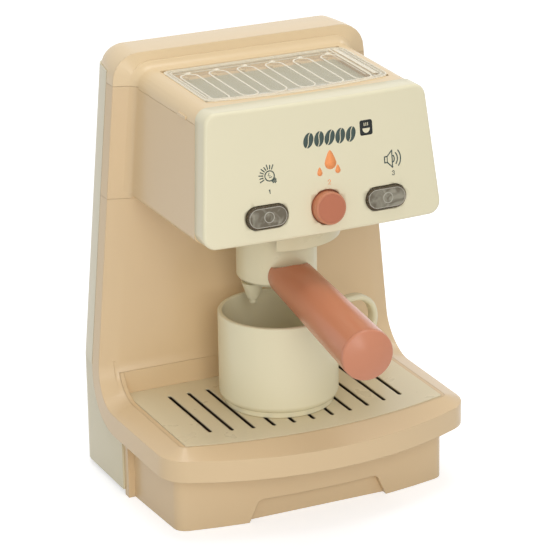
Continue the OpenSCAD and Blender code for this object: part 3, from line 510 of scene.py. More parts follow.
def at_height(line: list[Flat], z: float) -> list[Point]:
    """Gives an outline at a height."""
    return [(x, y, z) for x, y in line]


def turns(steps: int) -> list[float]:
    """Gives the angles of a full turn in equal steps, in radians."""
    return [2 * math.pi * i / steps for i in range(steps)]


def arc(cx: float, cy: float, radius: float, start: float, end: float, steps: int) -> list[Flat]:
    """Gives points on an arc.

    Args:
        cx: The centre's first coordinate.
        cy: The centre's second coordinate.
        radius: The arc's radius.
        start: Its first angle in degrees.
        end: Its last angle in degrees.
        steps: The number of its steps.

    Returns:
        The points, from the first angle to the last.
    """
    out = []
    for i in range(steps + 1):
        a = math.radians(start + (end - start) * i / steps)
        out.append((cx + radius * math.cos(a), cy + radius * math.sin(a)))
    return out


def oblong(length: float, height: float, steps: int = 12) -> list[Flat]:
    """Gives the outline of two half discs joined by a bar, centred."""
    r, mid = height / 2, (length - height) / 2
    return arc(mid, 0, r, -90, 90, steps) + arc(-mid, 0, r, 90, 270, steps)


def skin_piece(name: str, skin: Skin, finish: Finish, body: Body,
               nodes: tuple[str, ...] = (), degrees: float = 32.0) -> bpy.types.Object:
    """Makes a piece from a skin and lets it stand for nodes of the frame.

    Args:
        name: The piece's name.
        skin: Its skin in the frame of the whole toy.
        finish: Its finish.
        body: The body that carries it.
        nodes: The nodes of the frame that it stands for.
        degrees: Edges that turn by more than this stay sharp.

    Returns:
        The new object.
    """
    mesh = bpy.data.meshes.new(name)
    mesh.from_pydata([(x * MM, y * MM, z * MM) for x, y, z in skin.points], [], skin.faces)
    mesh.validate()
    work = bmesh.new()
    work.from_mesh(mesh)
    bmesh.ops.remove_doubles(work, verts=work.verts, dist=SAME_POINT_MM * MM)
    bmesh.ops.recalc_face_normals(work, faces=work.faces)
    work.to_mesh(mesh)
    work.free()
    for poly in mesh.polygons:
        poly.use_smooth = True
    mesh.set_sharp_from_angle(angle=math.radians(degrees))
    mesh.materials.append(material_of(finish))
    obj = bpy.data.objects.new(name, mesh)
    bpy.context.scene.collection.objects.link(obj)
    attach(obj, body.value)
    LOG.info("piece %s in %s", name, finish.name)
    if nodes:
        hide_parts(*nodes)
    return obj


# ---- Sub-assemblies ----


@dataclass
class Housings:
    """Front frame, rear housing, top cover and head."""

    edge: float = 0.5
    shell_angle: float = 28.0

    def build(self) -> None:
        """Dresses the housings."""
        dress_nodes(BEIGE, "front_frame", round_mm=self.edge, degrees=self.shell_angle)
        dress_nodes(CREAM, "rear_housing", round_mm=self.edge, degrees=self.shell_angle)
        dress_nodes(BEIGE_LIT_TOP, "top_cover", round_mm=self.edge)
        dress_nodes(BEIGE, "head_housing", round_mm=self.edge)


@dataclass
class HeadPanel:
    """Bowed front panel of the head, with its rounded edge and the holes of its buttons."""

    front: float = 59.9
    z: float = 217.4
    tilt: float = 7.67
    lift: float = 2.3
    low: float = 153.5
    depth: float = 11.0
    bow: float = 2.5
    edge_r: float = 1.6
    corner_r: float = 6.5
    wall: float = 2.2
    hood_half: float = 65.5
    hood_z: float = 154.0
    flare: float = 0.09
    control_x: float = 1.0
    control_y: float = -51.6
    hole_r: float = 8.95
    hole_shift: float = 0.15
    lens_x: float = 32.5
    lens_size: Flat = (22.9, 12.2)
    cut_step: float = 4.0
    corner_steps: int = 10
    edge_step: int = 15

    def half_at(self, z: float) -> float:
        """Gives the hood's half-width at a height."""
        return self.hood_half - (z - self.hood_z) * self.flare

    @property
    def top(self) -> float:
        """Height of the panel's upper edge."""
        return self.z + self.lift * math.cos(math.radians(self.tilt))

    @property
    def matrix(self) -> Matrix:
        """Frame of the panel: Y up its slope, Z out of it."""
        return (Matrix.Translation((0.0, -self.front, self.z))
                @ Matrix.Rotation(math.radians(90 - self.tilt), 4, "X"))

    def bow_at(self, x: float) -> float:
        """Gives the height of the bowed face over its chord."""
        half = self.half_at((self.top + self.low) / 2)
        return self.bow * (1 - (x / half) ** 2)

    def on_face(self, x: float, z: float) -> Point:
        """Gives the point of the bowed face at x and z in front view."""
        return self.in_front_view(x, z, self.bow_at(x))

    def in_front_view(self, x: float, z: float, out: float) -> Point:
        """Gives a point that stands out of the panel's chord.

        Args:
            x: Its place across the panel in front view.
            z: Its height in front view.
            out: How far it stands out of the chord.

        Returns:
            The point in the frame of the whole toy.
        """
        t = math.radians(self.tilt)
        up = (z - self.z - out * math.sin(t)) / math.cos(t)
        return (x, -self.front + up * math.sin(t) - out * math.cos(t), z)

    def to_front_view(self, x: float, y: float) -> Flat:
        """Gives x and z in front view of a point on the face, from the panel's own plane."""
        t = math.radians(self.tilt)
        return (x, self.z + y * math.cos(t) + self.bow_at(x) * math.sin(t))

    def outline(self) -> list[tuple[Flat, Flat]]:
        """Gives the outline in front view.

        Returns:
            Pairs of a point on the inset line of the rounded edge and its outward direction.
        """
        lean = math.degrees(math.atan(self.flare))
        r = self.corner_r
        corners = ((self.low + r, -90.0, lean), (self.top - r, lean, 90.0))
        side: list[tuple[Flat, Flat]] = []
        for z, start, end in corners:
            cx = self.half_at(z) - r
            for a in range(self.corner_steps + 1):
                angle = math.radians(start + (end - start) * a / self.corner_steps)
                way = (math.cos(angle), math.sin(angle))
                inset = r - self.edge_r
                side.append(((cx + inset * way[0], z + inset * way[1]), way))
        cuts = int((self.half_at(self.low + r) - r) // self.cut_step)
        xs = [self.cut_step * k for k in range(-cuts + 1, cuts)]
        top_z, low_z = self.top - self.edge_r, self.low + self.edge_r
        top_xs = [x for x in reversed(xs) if abs(x) < self.half_at(self.top) - r - 1]
        top = [((x, top_z), (0.0, 1.0)) for x in top_xs]
        low = [((x, low_z), (0.0, -1.0)) for x in xs]
        other = [((-q[0], q[1]), (-w[0], w[1])) for q, w in reversed(side)]
        return side + top + other + low

    def holes(self) -> list[list[Flat]]:
        """Gives the outlines of the three holes.

        Returns:
            The outlines in front view, the round one first.
        """
        x, y, r = self.control_x + self.hole_shift, self.control_y + self.hole_shift, self.hole_r
        shapes = [[(x + r * math.cos(a), y + r * math.sin(a)) for a in turns(64)]]
        for side in (-1, 1):
            middle = self.control_x + side * self.lens_x
            shapes.append([(middle + x, self.control_y + y)
                           for x, y in oblong(*self.lens_size, 20)])
        return [[self.to_front_view(x, y) for x, y in shape] for shape in shapes]

    def build(self) -> None:
        """Makes the panel."""
        outline = self.outline()
        face = [q for q, _ in outline]
        loops = [face] + self.holes()
        work = bmesh.new()
        flat = [work.verts.new((x, 0.0, z)) for loop in loops for x, z in loop]
        for tri in tessellate_polygon([[(x, z, 0.0) for x, z in loop] for loop in loops]):
            work.faces.new([flat[i] for i in tri])
        cuts = int((self.half_at(self.top) - self.corner_r) // self.cut_step)
        for k in range(-cuts, cuts + 1):
            parts = work.verts[:] + work.edges[:] + work.faces[:]
            bmesh.ops.bisect_plane(work, geom=parts, dist=1e-4, plane_co=(k * self.cut_step, 0, 0),
                                   plane_no=(1, 0, 0))
        work.verts.ensure_lookup_table()
        skin = Skin([self.on_face(v.co.x, v.co.z) for v in work.verts],
                    [tuple(v.index for v in f.verts) for f in work.faces])
        work.free()
        r = self.edge_r
        rings = []
        for turn in range(0, 91, self.edge_step):
            a = math.radians(turn)
            rings.append([])
            for (x, z), (wx, wz) in outline:
                out = self.bow_at(x) - r * (1 - math.cos(a))
                rings[-1].append(self.in_front_view(x + r * math.sin(a) * wx,
                                                    z + r * math.sin(a) * wz, out))
        back = [self.in_front_view(q[0], q[2], -self.depth) for q in rings[-1]]
        skin.loft(rings + [back], capped=False)
        panel = skin_piece("panel", skin, PANEL, Body.HOUSING, ("front_panel",), 40)
        thick = panel.modifiers.new("wall", "SOLIDIFY")
        thick.thickness = self.wall * MM
        thick.offset = -1.0
        even = panel.modifiers.new("even_shading", "WEIGHTED_NORMAL")
        even.keep_sharp = True


@dataclass
class Prints:
    """Printed signs on the panel: plain pictograms and figures, laid on its bowed face.

    Places are pairs of the distance across the panel and the distance down it.
    """

    panel: HeadPanel
    lift: float = 0.03
    thickness: float = 0.04
    bulb_at: Flat = (-28.7, 31.6)
    bulb_r: float = 2.75
    bulb_turn: float = 48.0
    speaker_at: Flat = (34.2, 32.9)
    badge_at: Flat = (25.0, 15.2)
    badge_half: Flat = (3.5, 3.8)
    badge_corner: float = 1.1
    figures_at: tuple[Flat, ...] = ((-29.2, 39.3), (2.9, 39.2), (38.7, 40.0))
    bean_at: Flat = (-6.9, 17.2)
    bean_pitch: float = 5.8
    bean_size: Flat = (7.8, 5.2)
    bean_turns: tuple[int, ...] = (20, 14, 24, 16, 20)
    drops: tuple[tuple[float, float, float, float], ...] = (
        (4.2, 23.4, 33.0, 6.4), (-1.9, 31.2, 35.6, 2.9), (8.0, 31.1, 35.5, 2.9))
    shapes: list[list[list[Flat]]] = field(default_factory=list)

    def disc(self, x: float, s: float, r: float) -> list[Flat]:
        """Gives a disc's outline."""
        return [(x + r * math.cos(a), s + r * math.sin(a)) for a in turns(28)]

    def stroke(self, points: list[Flat], width: float) -> None:
        """Adds a line with round ends.

        Args:
            points: The points that it runs through.
            width: Its width in millimetres.
        """
        left, right = [], []
        r = width / 2
        for i, (x, s) in enumerate(points):
            ax, ay = points[max(i - 1, 0)]
            bx, by = points[min(i + 1, len(points) - 1)]
            length = math.hypot(bx - ax, by - ay) or 1.0
            nx, ny = -(by - ay) / length * r, (bx - ax) / length * r
            left.append((x + nx, s + ny))
            right.append((x - nx, s - ny))
        ends = []
        for (cx, cy), (px, py) in ((points[-1], left[-1]), (points[0], right[0])):
            base = math.degrees(math.atan2(py - cy, px - cx))
            ends.append(arc(cx, cy, r, base, base - 180, 6)[1:-1])
        self.shapes.append([left + ends[0] + right[::-1] + ends[1]])

    def drop(self, x: float, top: float, bottom: float, width: float) -> None:
        """Adds a drop with its point up.

        Args:
            x: Its middle.
            top: The place of its point down the panel.
            bottom: The place of its foot down the panel.
            width: Its width.
        """
        r = width / 2
        middle = bottom - r
        tip = []
        for i in range(9):
            k = i / 8
            wide = r * (1 - k * k) ** 0.5 * (1 - 0.5 * k)
            tip.append((wide, middle - (middle - top) * k))
        lower = arc(x, middle, r, 0, 180, 20)
        left = [(x - w, s) for w, s in tip[1:-1]]
        right = [(x + w, s) for w, s in reversed(tip[1:-1])]
        self.shapes.append([lower + left + [(x, top)] + right])

    def bean(self, x: float, s: float, turn: float) -> None:
        """Adds a coffee bean: two halves with a bent slit between them.

        Args:
            x: Its middle across the panel.
            s: Its middle down the panel.
            turn: Its turn in degrees.
        """
        length, width = self.bean_size
        c, d = math.cos(math.radians(turn)), math.sin(math.radians(turn))
        for side in (-1, 1):
            outer = arc(0, 0, 1, -86, 86, 18)
            shape = [(side * u * width / 2, v * length / 2) for u, v in outer]
            slit = []
            for i in range(13):
                v = 0.93 - 1.86 * i / 12
                slit.append((side * 0.24 + 0.42 * math.sin(v * 3.0), v * length / 2))
            loop = shape + slit
            self.shapes.append([[(x + c * u - d * v, s + d * u + c * v) for u, v in loop]])

    def bulb(self) -> None:
        """Adds the sign of a lit bulb."""
        (x, s), r = self.bulb_at, self.bulb_r
        self.shapes.append([self.disc(x, s, r), self.disc(x, s, r - 0.55)])
        for k in range(9):
            a = math.radians(152 + 17.5 * k)
            inner, outer = r + 0.75, r + (2.9 if k % 2 == 0 else 2.5)
            self.stroke([(x + inner * math.cos(a), s + inner * math.sin(a)),
                         (x + outer * math.cos(a), s + outer * math.sin(a))], 0.55)
        way = math.radians(self.bulb_turn)
        c, d = math.cos(way), math.sin(way)
        for step, half in ((0.2, 1.1), (0.95, 1.1), (1.7, 0.5)):
            mx, my = x + (r + step) * c, s + (r + step) * d
            self.stroke([(mx + half * d, my - half * c), (mx - half * d, my + half * c)], 0.6)
        wire = [(-1.3, -0.9), (-0.6, 0.7), (0.0, -0.5), (0.7, 0.9), (1.3, -0.6)]
        self.stroke([(x + 0.9 * u * c - 0.9 * v * d, s + 0.9 * u * d + 0.9 * v * c)
                     for u, v in wire], 0.42)

    def speaker(self) -> None:
        """Adds the sign of a loudspeaker with its waves."""
        x, s = self.speaker_at
        box = [(x, s - 1.5), (x + 1.5, s - 1.5), (x + 4.3, s - 4.3), (x + 4.3, s + 4.3),
               (x + 1.5, s + 1.5), (x, s + 1.5), (x, s - 1.5)]
        for one, other in zip(box, box[1:]):
            self.stroke([one, other], 0.6)
        self.stroke([(x + 1.5, s - 1.5), (x + 1.5, s + 1.5)], 0.45)
        for radius in (2.6, 4.4, 6.2):
            self.stroke(arc(x + 2.9, s, radius, -38, 38, 10), 0.62)

    def badge(self) -> None:
        """Adds a dark plate with the sign of a steaming cup left open in it."""
        (x, s), r = self.badge_at, self.badge_corner
        wide, high = (half - r for half in self.badge_half)
        plate = []
        for k, (u, v) in enumerate(((1, 1), (-1, 1), (-1, -1), (1, -1))):
            plate += arc(x + u * wide, s + v * high, r, 90 * k, 90 * k + 90, 6)
        bowl = [(x + u, s + 0.3 + 1.15 * v) for u, v in arc(0, 0, 2.1, 0, 180, 12)]
        steam = []
        for k in (-1, 0, 1):
            steam.append([(x + k + u, s + v) for u, v in
                          ((-0.2, -2.5), (0.2, -2.5), (0.2, -0.9), (-0.2, -0.9))])
        self.shapes.append([plate, bowl] + steam)

    def figure(self, digit: int) -> None:
        """Adds a small figure under a sign.

        Args:
            digit: The figure, 1 to 3.
        """
        x, s = self.figures_at[digit - 1]
        w, h = 0.65, 1.1
        lines = {
            1: [[(-0.3, -0.7), (0.15, -1.1), (0.15, 1.1)]],
            2: [arc(0, -0.45, w, 180, 380, 8) + [(-w, h), (w, h)]],
            3: [arc(0, -0.52, 0.56, 180, 430, 8), arc(0, 0.52, 0.6, 290, 540, 8)],
        }[digit]
        for line in lines:
            self.stroke([(x + u, s + v) for u, v in line], 0.34)

    def lay(self, name: str, finish: Finish) -> None:
        """Makes a print of the shapes gathered so far.

        Args:
            name: The print's name.
            finish: Its ink.
        """
        skin = Skin()
        for loops in self.shapes:
            first = len(skin.points)
            for loop in loops:
                for x, s in loop:
                    out = self.panel.bow_at(x) + self.lift
                    skin.points.append(tuple(self.panel.matrix @ Vector((x, -s, out))))
            for tri in tessellate_polygon([[(x, -s, 0.0) for x, s in loop] for loop in loops]):
                skin.faces.append(tuple(first + i for i in tri))
        self.shapes = []
        piece = skin_piece(name, skin, finish, Body.HOUSING)
        thick = piece.modifiers.new("ink_film", "SOLIDIFY")
        thick.thickness = self.thickness * MM
        thick.offset = 0.0

    def build(self) -> None:
        """Makes the prints."""
        self.bulb()
        self.speaker()
        self.figure(1)
        self.figure(3)
        x, s = self.bean_at
        for i, turn in enumerate(self.bean_turns):
            self.bean(x + self.bean_pitch * i, s, turn)
        self.lay("slate_print", SLATE_INK)
        self.badge()
        self.lay("badge_print", DARK_INK)
        for drop in self.drops:
            self.drop(*drop)
        self.figure(2)
        self.lay("orange_print", ORANGE_INK)


@dataclass
class Controls:
    """Buttons of the panel and the electronics behind it."""

    panel: HeadPanel
    brew_r: float = 8.3
    brew_face: float = 7.3
    lens_l: float = 22.2
    lens_h: float = 11.5
    lens_wall: float = 1.5
    boss_r: float = 3.0
    stem_r: float = 2.6
    stem_low: float = -11.6

    def _brew_button(self) -> None:
        """Makes the round button with its sunk flange, and its face, a little matter and painted
        darker than its side as shade.
        """
        r, face = self.brew_r, self.brew_face
        profile = [(0.0, self.stem_low), (self.stem_r, self.stem_low), (self.stem_r, -1.2),
                   (r + 1.8, -1.2), (r + 1.8, -0.1), (r + 0.05, -0.1), (r, 0.4),
                   (r - 0.15, face - 1.0)]
        profile += arc(r - 0.95, face - 0.95, 0.8, 0, 78, 8)[1:]
        profile += [(r - 2.0, face - 0.16), (r - 4.0, face - 0.06), (0.0, face)]
        skin = Skin()
        skin.lathe(profile, 96)
        place = self.panel.matrix @ Matrix.Translation((self.panel.control_x,
                                                        self.panel.control_y, 0.0))
        skin_piece("round_button", skin.moved(place), TERRACOTTA, Body.BREW,
                   ("brew_button",), 24)
        # The face is darker than the side wall: painted shade, since the side wall faces the light
        # more.
        shaded_face = Skin()
        shaded_face.lathe([(0.0, face - 0.1), (r - 1.3, face - 0.3), (r - 1.25, face - 0.02),
                    (r - 1.5, face + 0.02), (r - 4.0, face + 0.01), (0.0, face + 0.02)], 96)
        skin_piece("round_button_shaded_face", shaded_face.moved(place), SHADED_BUTTON_FACE, Body.BREW)

    def _lens_button(self, side: int, name: str, node: str, body: Body) -> None:
        """Makes one clear oblong button.

        Args:
            side: -1 for the left button, 1 for the right one.
            name: The piece's name.
            node: The node that it stands for.
            body: The body that carries it.
        """
        x = self.panel.lens_x
        face = self.panel.bow_at(x) + 1.5
        flange = self.panel.bow_at(x + self.lens_l / 2 + 3.5) - 2.75
        length, height = self.lens_l, self.lens_h

        def line(inset: float) -> list[Flat]:
            """Gives the button's outline, inset all round."""
            return oblong(length - 2 * inset, height - 2 * inset, 20)

        wall = self.lens_wall
        profile = [(wall + 0.9, face - 1.6), (wall, face - 2.4), (wall, flange - 1.2),
                   (-1.5, flange - 1.2), (-1.5, flange), (0.0, flange), (0.0, face - 1.0)]
        profile += [(u, face - v) for u, v in arc(1.0, 1.0, 1.0, 180, 270, 6)[1:]]
        profile.append((2.2, face))
        skin = Skin()
        skin.loft([at_height(line(inset), z) for inset, z in profile])
        stem = Skin()
        r, low = self.stem_r, self.stem_low
        stem.lathe([(0.0, low), (r, low), (r, face - 1.7), (0.0, face - 1.7)], 40)
        skin.join(stem)
        # Pale ridges round the lens face and its boss: painted highlights on the clear edges.
        edges = Skin()
        edges.ridge(line(1.0), line(1.3), face - 0.2, face + 0.1)
        boss = [[(0.4 + r * math.cos(a), r * math.sin(a)) for a in turns(40)]
                for r in (self.boss_r - 0.25, self.boss_r - 0.6)]
        edges.ridge(*boss, face - 0.1, face + 0.45)
        front = Skin()
        front.loft([at_height(line(1.35), face + z) for z in (-0.05, 0.05)])
        place = self.panel.matrix @ Matrix.Translation((self.panel.control_x + side * x,
                                                        self.panel.control_y, 0.0))
        skin_piece(name, skin.moved(place), LENS, body, (node,), 30)
        skin_piece(f"{name}_edges", edges.moved(place), LENS_EDGE_HIGHLIGHT, body)
        skin_piece(f"{name}_face", front.moved(place), LENS_FACE, body)

    def build(self) -> None:
        """Makes the buttons and dresses the electronics."""
        self._brew_button()
        self._lens_button(-1, "light_lens", "light_button", Body.LIGHT)
        self._lens_button(1, "sound_lens", "sound_button", Body.SOUND)
        dress_nodes(DARK, "brew_plunger", "light_plunger", "sound_plunger", "switch_bodies")
        dress_nodes(LED, "button_leds")
        dress_nodes(BOARD, "control_board")
        dress_nodes(SCREW, "board_screws")


@dataclass
class Window:
    """Clear window over the grey tray of the bean well."""

    width: float = 100.0
    length: float = 57.0
    back: float = 12.0
    tower_front: float = 28.5
    hood_top: float = 221.5
    slope: float = 1.38
    corner_r: float = 5.0
    lip_bow: float = 5.0
    ribs: int = 6
    rib_pitch: float = 15.6
    rib_x: float = -2.1
    rib_y: float = -6.6
    rib_size: Flat = (46.0, 10.2)
    rib_t: float = 0.9
    floor_z: float = -4.15
    ledge: float = 8.5
    well_x: Flat = (-46.0, 43.5)
    # Pale strips at the window's right end: painted highlight laid over the shaded end of the
    # well.
    end_highlight_strips: tuple[Flat, ...] = ((39.3, 39.7), (41.7, 42.4), (43.9, 46.2))
    end_gap: float = 5.0
    stud_x: float = -0.7
    stud_y: float = 17.0
    stud_r: float = 1.5

    @property
    def matrix(self) -> Matrix:
        """Frame of the hood's top: Z out of it, the window's middle at the origin."""
        return (Matrix.Translation((0.0, self.tower_front, self.hood_top))
                @ Matrix.Rotation(math.radians(self.slope), 4, "X")
                @ Matrix.Translation((0.0, -self.back - self.length / 2, 0.0)))

    @staticmethod
    def _outline(half: float, front: float, back: float, radius: float,
                 bow: float = 0.0) -> list[Flat]:
        """Gives a box with rounded corners whose front side may be bowed.

        Args:
            half: Half its width.
            front: The place of its front side.
            back: The place of its back side.
            radius: The radius of its corners.
            bow: How far the middle of its front side stands out.

        Returns:
            The points of the outline.
        """
        x, low, high = half - radius, front + radius, back - radius
        box = arc(x, high, radius, 0, 90, 6) + arc(-x, high, radius, 90, 180, 6)
        box += arc(-x, low, radius, 180, 270, 6)
        box += [(x * (k / 8 - 1), front) for k in range(1, 16)]
        box += arc(x, low, radius, 270, 360, 6)
        middle = (front + back) / 2
        points = []
        for u, v in box:
            share = max(0.0, middle - v) / (middle - front)
            points.append((u, v - share * bow * (1 - (u / half) ** 2)))
        return points

    def _corner(self, inset: float) -> float:
        """Gives the radius of the corners of an inset outline."""
        return max(1.2, self.corner_r - 0.6 * inset)

    def _pane(self, inset: float) -> list[Flat]:
        """Gives the pane's outline, inset all round."""
        end = self.length / 2 - inset
        return self._outline(self.width / 2 - inset, -end, end, self._corner(inset))

    def _lip(self, inset: float) -> list[Flat]:
        """Gives the raised lip's outline, inset all round."""
        front, back = -self.length / 2 - 0.6 + inset, self.length / 2 - 3.0 - inset
        return self._outline(self.width / 2 + 0.4 - inset, front, back, self._corner(inset),
                             self.lip_bow)

    def _well(self) -> None:
        """Lines the well in grey at the height of its ledge."""
        front, back = -self.length / 2 + 3.1, self.length / 2 - self.ledge
        left, right = self.well_x
        corners = [(left, front), (right, front), (right, back), (left, back)]
        lining = Skin()
        lining.loft([at_height(corners, self.floor_z + z) for z in (0.0, 0.3)])
        skin_piece("well_lining", lining.moved(self.matrix), GREY_TRAY, Body.HOUSING)

    def _ribs(self) -> Skin:
        """Makes the long oval ribs under the pane and the studs at their ends.

        Returns:
            Their skin.
        """
        length, width = self.rib_size
        ribs = Skin()
        for k in range(self.ribs):
            x = (k - (self.ribs - 1) / 2) * self.rib_pitch
            lines = []
            for inset in (0.0, self.rib_t):
                outline = oblong(length - 2 * inset, width - 2 * inset, 16)
                lines.append([(self.rib_x + x - v, self.rib_y + u) for u, v in outline])
            ribs.ridge(*lines, 0.4, 0.62)
            dome = Skin()
            dome.lathe([(0.0, 0.0), (self.stud_r, 0.0)] + [(u, 0.5 * v) for u, v in arc(
                0, 0, self.stud_r, 10, 80, 6)] + [(0.0, 0.5 * self.stud_r)], 24)
            ribs.join(dome.moved(Matrix.Translation((self.stud_x + x, self.stud_y, 0.45))))
        return ribs

    def build(self) -> None:
        """Makes the window's raised pane and dresses its tray."""
        dress_nodes(BEIGE_LIT_TOP, "window_tray", round_mm=0.4)
        self._well()
        pane, lip = self._pane, self._lip
        profile = [(pane, 8.0, -1.5), (pane, 4.6, -1.5), (pane, 3.9, -2.2), (pane, 0.2, -2.2),
                   (pane, 0.0, -2.0), (pane, 0.0, -0.5), (pane, 0.2, -0.3), (pane, 2.6, -0.3),
                   (pane, 2.6, 0.05), (lip, 0.2, 0.05), (lip, 0.0, 0.15), (lip, 0.0, 0.35),
                   (lip, 0.3, 0.6), (lip, 1.0, 0.7), (lip, 3.2, 0.7), (lip, 3.7, 0.55),
                   (lip, 5.5, 0.5)]
        skin = Skin()
        skin.loft([at_height(line(inset), z) for line, inset, z in profile])
        skin_piece("window_pane", skin.moved(self.matrix), CLEAR, Body.HOUSING,
                   ("top_window",), 40)
        # Pale ridges, ribs, studs and end strips over the pane: painted highlights on the clear
        # edges; the end strips also paint the shaded end of the well pale.
        edges = Skin()
        for line, outer, inner, low, high in (
                (pane, 0.1, 2.6, -0.6, -0.26), (pane, 0.15, 0.6, -2.1, -0.5),
                (lip, 0.1, 0.9, 0.1, 0.72), (lip, 2.2, 2.9, 0.2, 0.76),
                (pane, 4.4, 4.8, -1.6, -1.1)):
            edges.ridge(line(outer), line(inner), low, high)
        edges.join(self._ribs())
        reach = self.length / 2 - self.end_gap
        for left, right in self.end_highlight_strips:
            corners = [(left, -reach), (right, -reach), (right, reach), (left, reach)]
            edges.loft([at_height(corners, z) for z in (0.56, 0.72)])
        light = skin_piece("window_edge_highlights", edges.moved(self.matrix), CLEAR_EDGE_HIGHLIGHT, Body.HOUSING)
        light.visible_shadow = False


@dataclass
class FilterHolder:
    """Bayonet group and the filter holder with its handle.

    Distances along the handle are taken from the basket's axis.
    """

    group_y: float = -11.4
    handle_z: float = 119.9
    turn: float = 5.6
    droop: float = 2.2
    start: float = 21.8
    cut_h: float = 5.4
    cut_rise: float = 0.5
    hug_r: float = 21.1
    spout_x: float = 13.0
    spout_tip: float = 99.6
    spout_r: float = 6.0
    length: float = 126.0
    r_near: float = 11.1
    r_far: float = 13.1
    near_step: float = 1.1
    far_step: float = 12.0
    end_round: float = 0.15

    @property
    def matrix(self) -> Matrix:
        """Frame of the handle: Z outward along it, Y up."""
        return (Matrix.Translation((0.0, self.group_y, self.handle_z))
                @ Matrix.Rotation(math.radians(-self.turn), 4, "Z")
                @ Matrix.Rotation(math.radians(90 + self.droop), 4, "X"))

    def radius(self, s: float) -> float:
        """Gives the handle's radius at a distance from the basket's axis."""
        return self.r_near + (self.r_far - self.r_near) * (s - 20) / (self.length - 20)

    def _grip_ring(self, s: float, hug: bool = False) -> list[Point]:
        """Gives the grip's section, cut flat on top near the basket.

        Args:
            s: The distance from the basket's axis.
            hug: Whether the section follows the basket's round wall.

        Returns:
            The points of the section.
        """
        r = self.radius(s)
        top = min(r * 0.9995, self.cut_h + (s - self.start) * self.cut_rise)
        a = math.degrees(math.asin(top / r))
        lower = arc(0, 0, r, 180 - a, 360 + a, 64)
        (x0, y0), (x1, _) = lower[-1], lower[0]
        flat = [(x0 + (x1 - x0) * k / 10, y0) for k in range(1, 10)]
        ring = []
        for x, y in lower + flat:
            near = math.sqrt(self.hug_r ** 2 - min(x * x, self.hug_r ** 2 - 1))
            ring.append((x, y, near if hug else s))
        return ring

    def _spouts(self) -> Skin:
        """Makes the two spouts under the basket.

        Returns:
            Their skin.
        """
        tip = self.spout_tip
        profile = [(0.0, tip + 3.0), (0.8, tip + 3.0), (0.8, tip)]
        profile += arc(1.45, tip + 0.6, 0.6, -90, 0, 4)
        profile += [(2.05, tip + 2.3), (2.5, tip + 2.5)] + arc(2.5, tip + 3.2, 0.7, -80, 0, 4)
        profile += [(self.spout_r, tip + 11.5), (2.0, tip + 11.5), (0.0, tip + 11.5)]
        spouts = Skin()
        for side in (-1, 1):
            one = Skin()
            one.lathe(profile, 48)
            place = (Matrix.Translation((0.0, self.group_y, 0.0))
                     @ Matrix.Rotation(math.radians(-self.turn), 4, "Z")
                     @ Matrix.Translation((side * self.spout_x, 0.0, 0.0)))
            spouts.join(one.moved(place))
        return spouts

    def build(self) -> None:
        """Makes the handle and its cap and dresses the group and the holder."""
        dress_nodes(IVORY, "group_collar", "filter_basket", round_mm=0.5)
        dress_nodes(SCREW, "collar_screws", "handle_screw")
        skin_piece("pouring_spouts", self._spouts(), IVORY, Body.HOLDER,
                   ("basket_spouts",), 40)
        rings = [self._grip_ring(self.start, hug=True)]
        rings += [self._grip_ring(self.start + self.near_step * k) for k in range(1, 16)]
        rings += [self._grip_ring(self.start + 20 + self.far_step * k) for k in range(8)]
        for turn in (0, 30, 60, 90):
            a = math.radians(turn)
            r = self.r_far - self.end_round * (1 - math.cos(a))
            end = self.length - self.end_round * (1 - math.sin(a))
            k = r / self.radius(self.length)
            rings.append([(k * x, k * y, end) for x, y, _ in self._grip_ring(self.length)])
        skin = Skin()
        skin.loft(rings)
        skin_piece("holder_grip", skin.moved(self.matrix), TERRACOTTA, Body.HOLDER,
                   ("basket_handle",), 40)
        r = self.r_far - 0.1
        dome = [(0.0, 0.0), (r - 0.15, 0.0), (r, 0.15)] + arc(r - 1.3, 0.9, 1.3, 0, 62, 8)
        dome += [(x, 5 - 3.5 * (x / r) ** 2) for x in (r - 1.6, r - 2.6, r - 4, r - 6, 5, 2.5, 1)]
        dome.append((0.0, 5.0))
        cap = Skin()
        cap.lathe(dome, 96)
        place = self.matrix @ Matrix.Translation((0.0, 0.0, self.length + 0.04))
        skin_piece("grip_cap", cap.moved(place), TERRACOTTA_CAP, Body.HOLDER,
                   ("handle_cap",), 24)


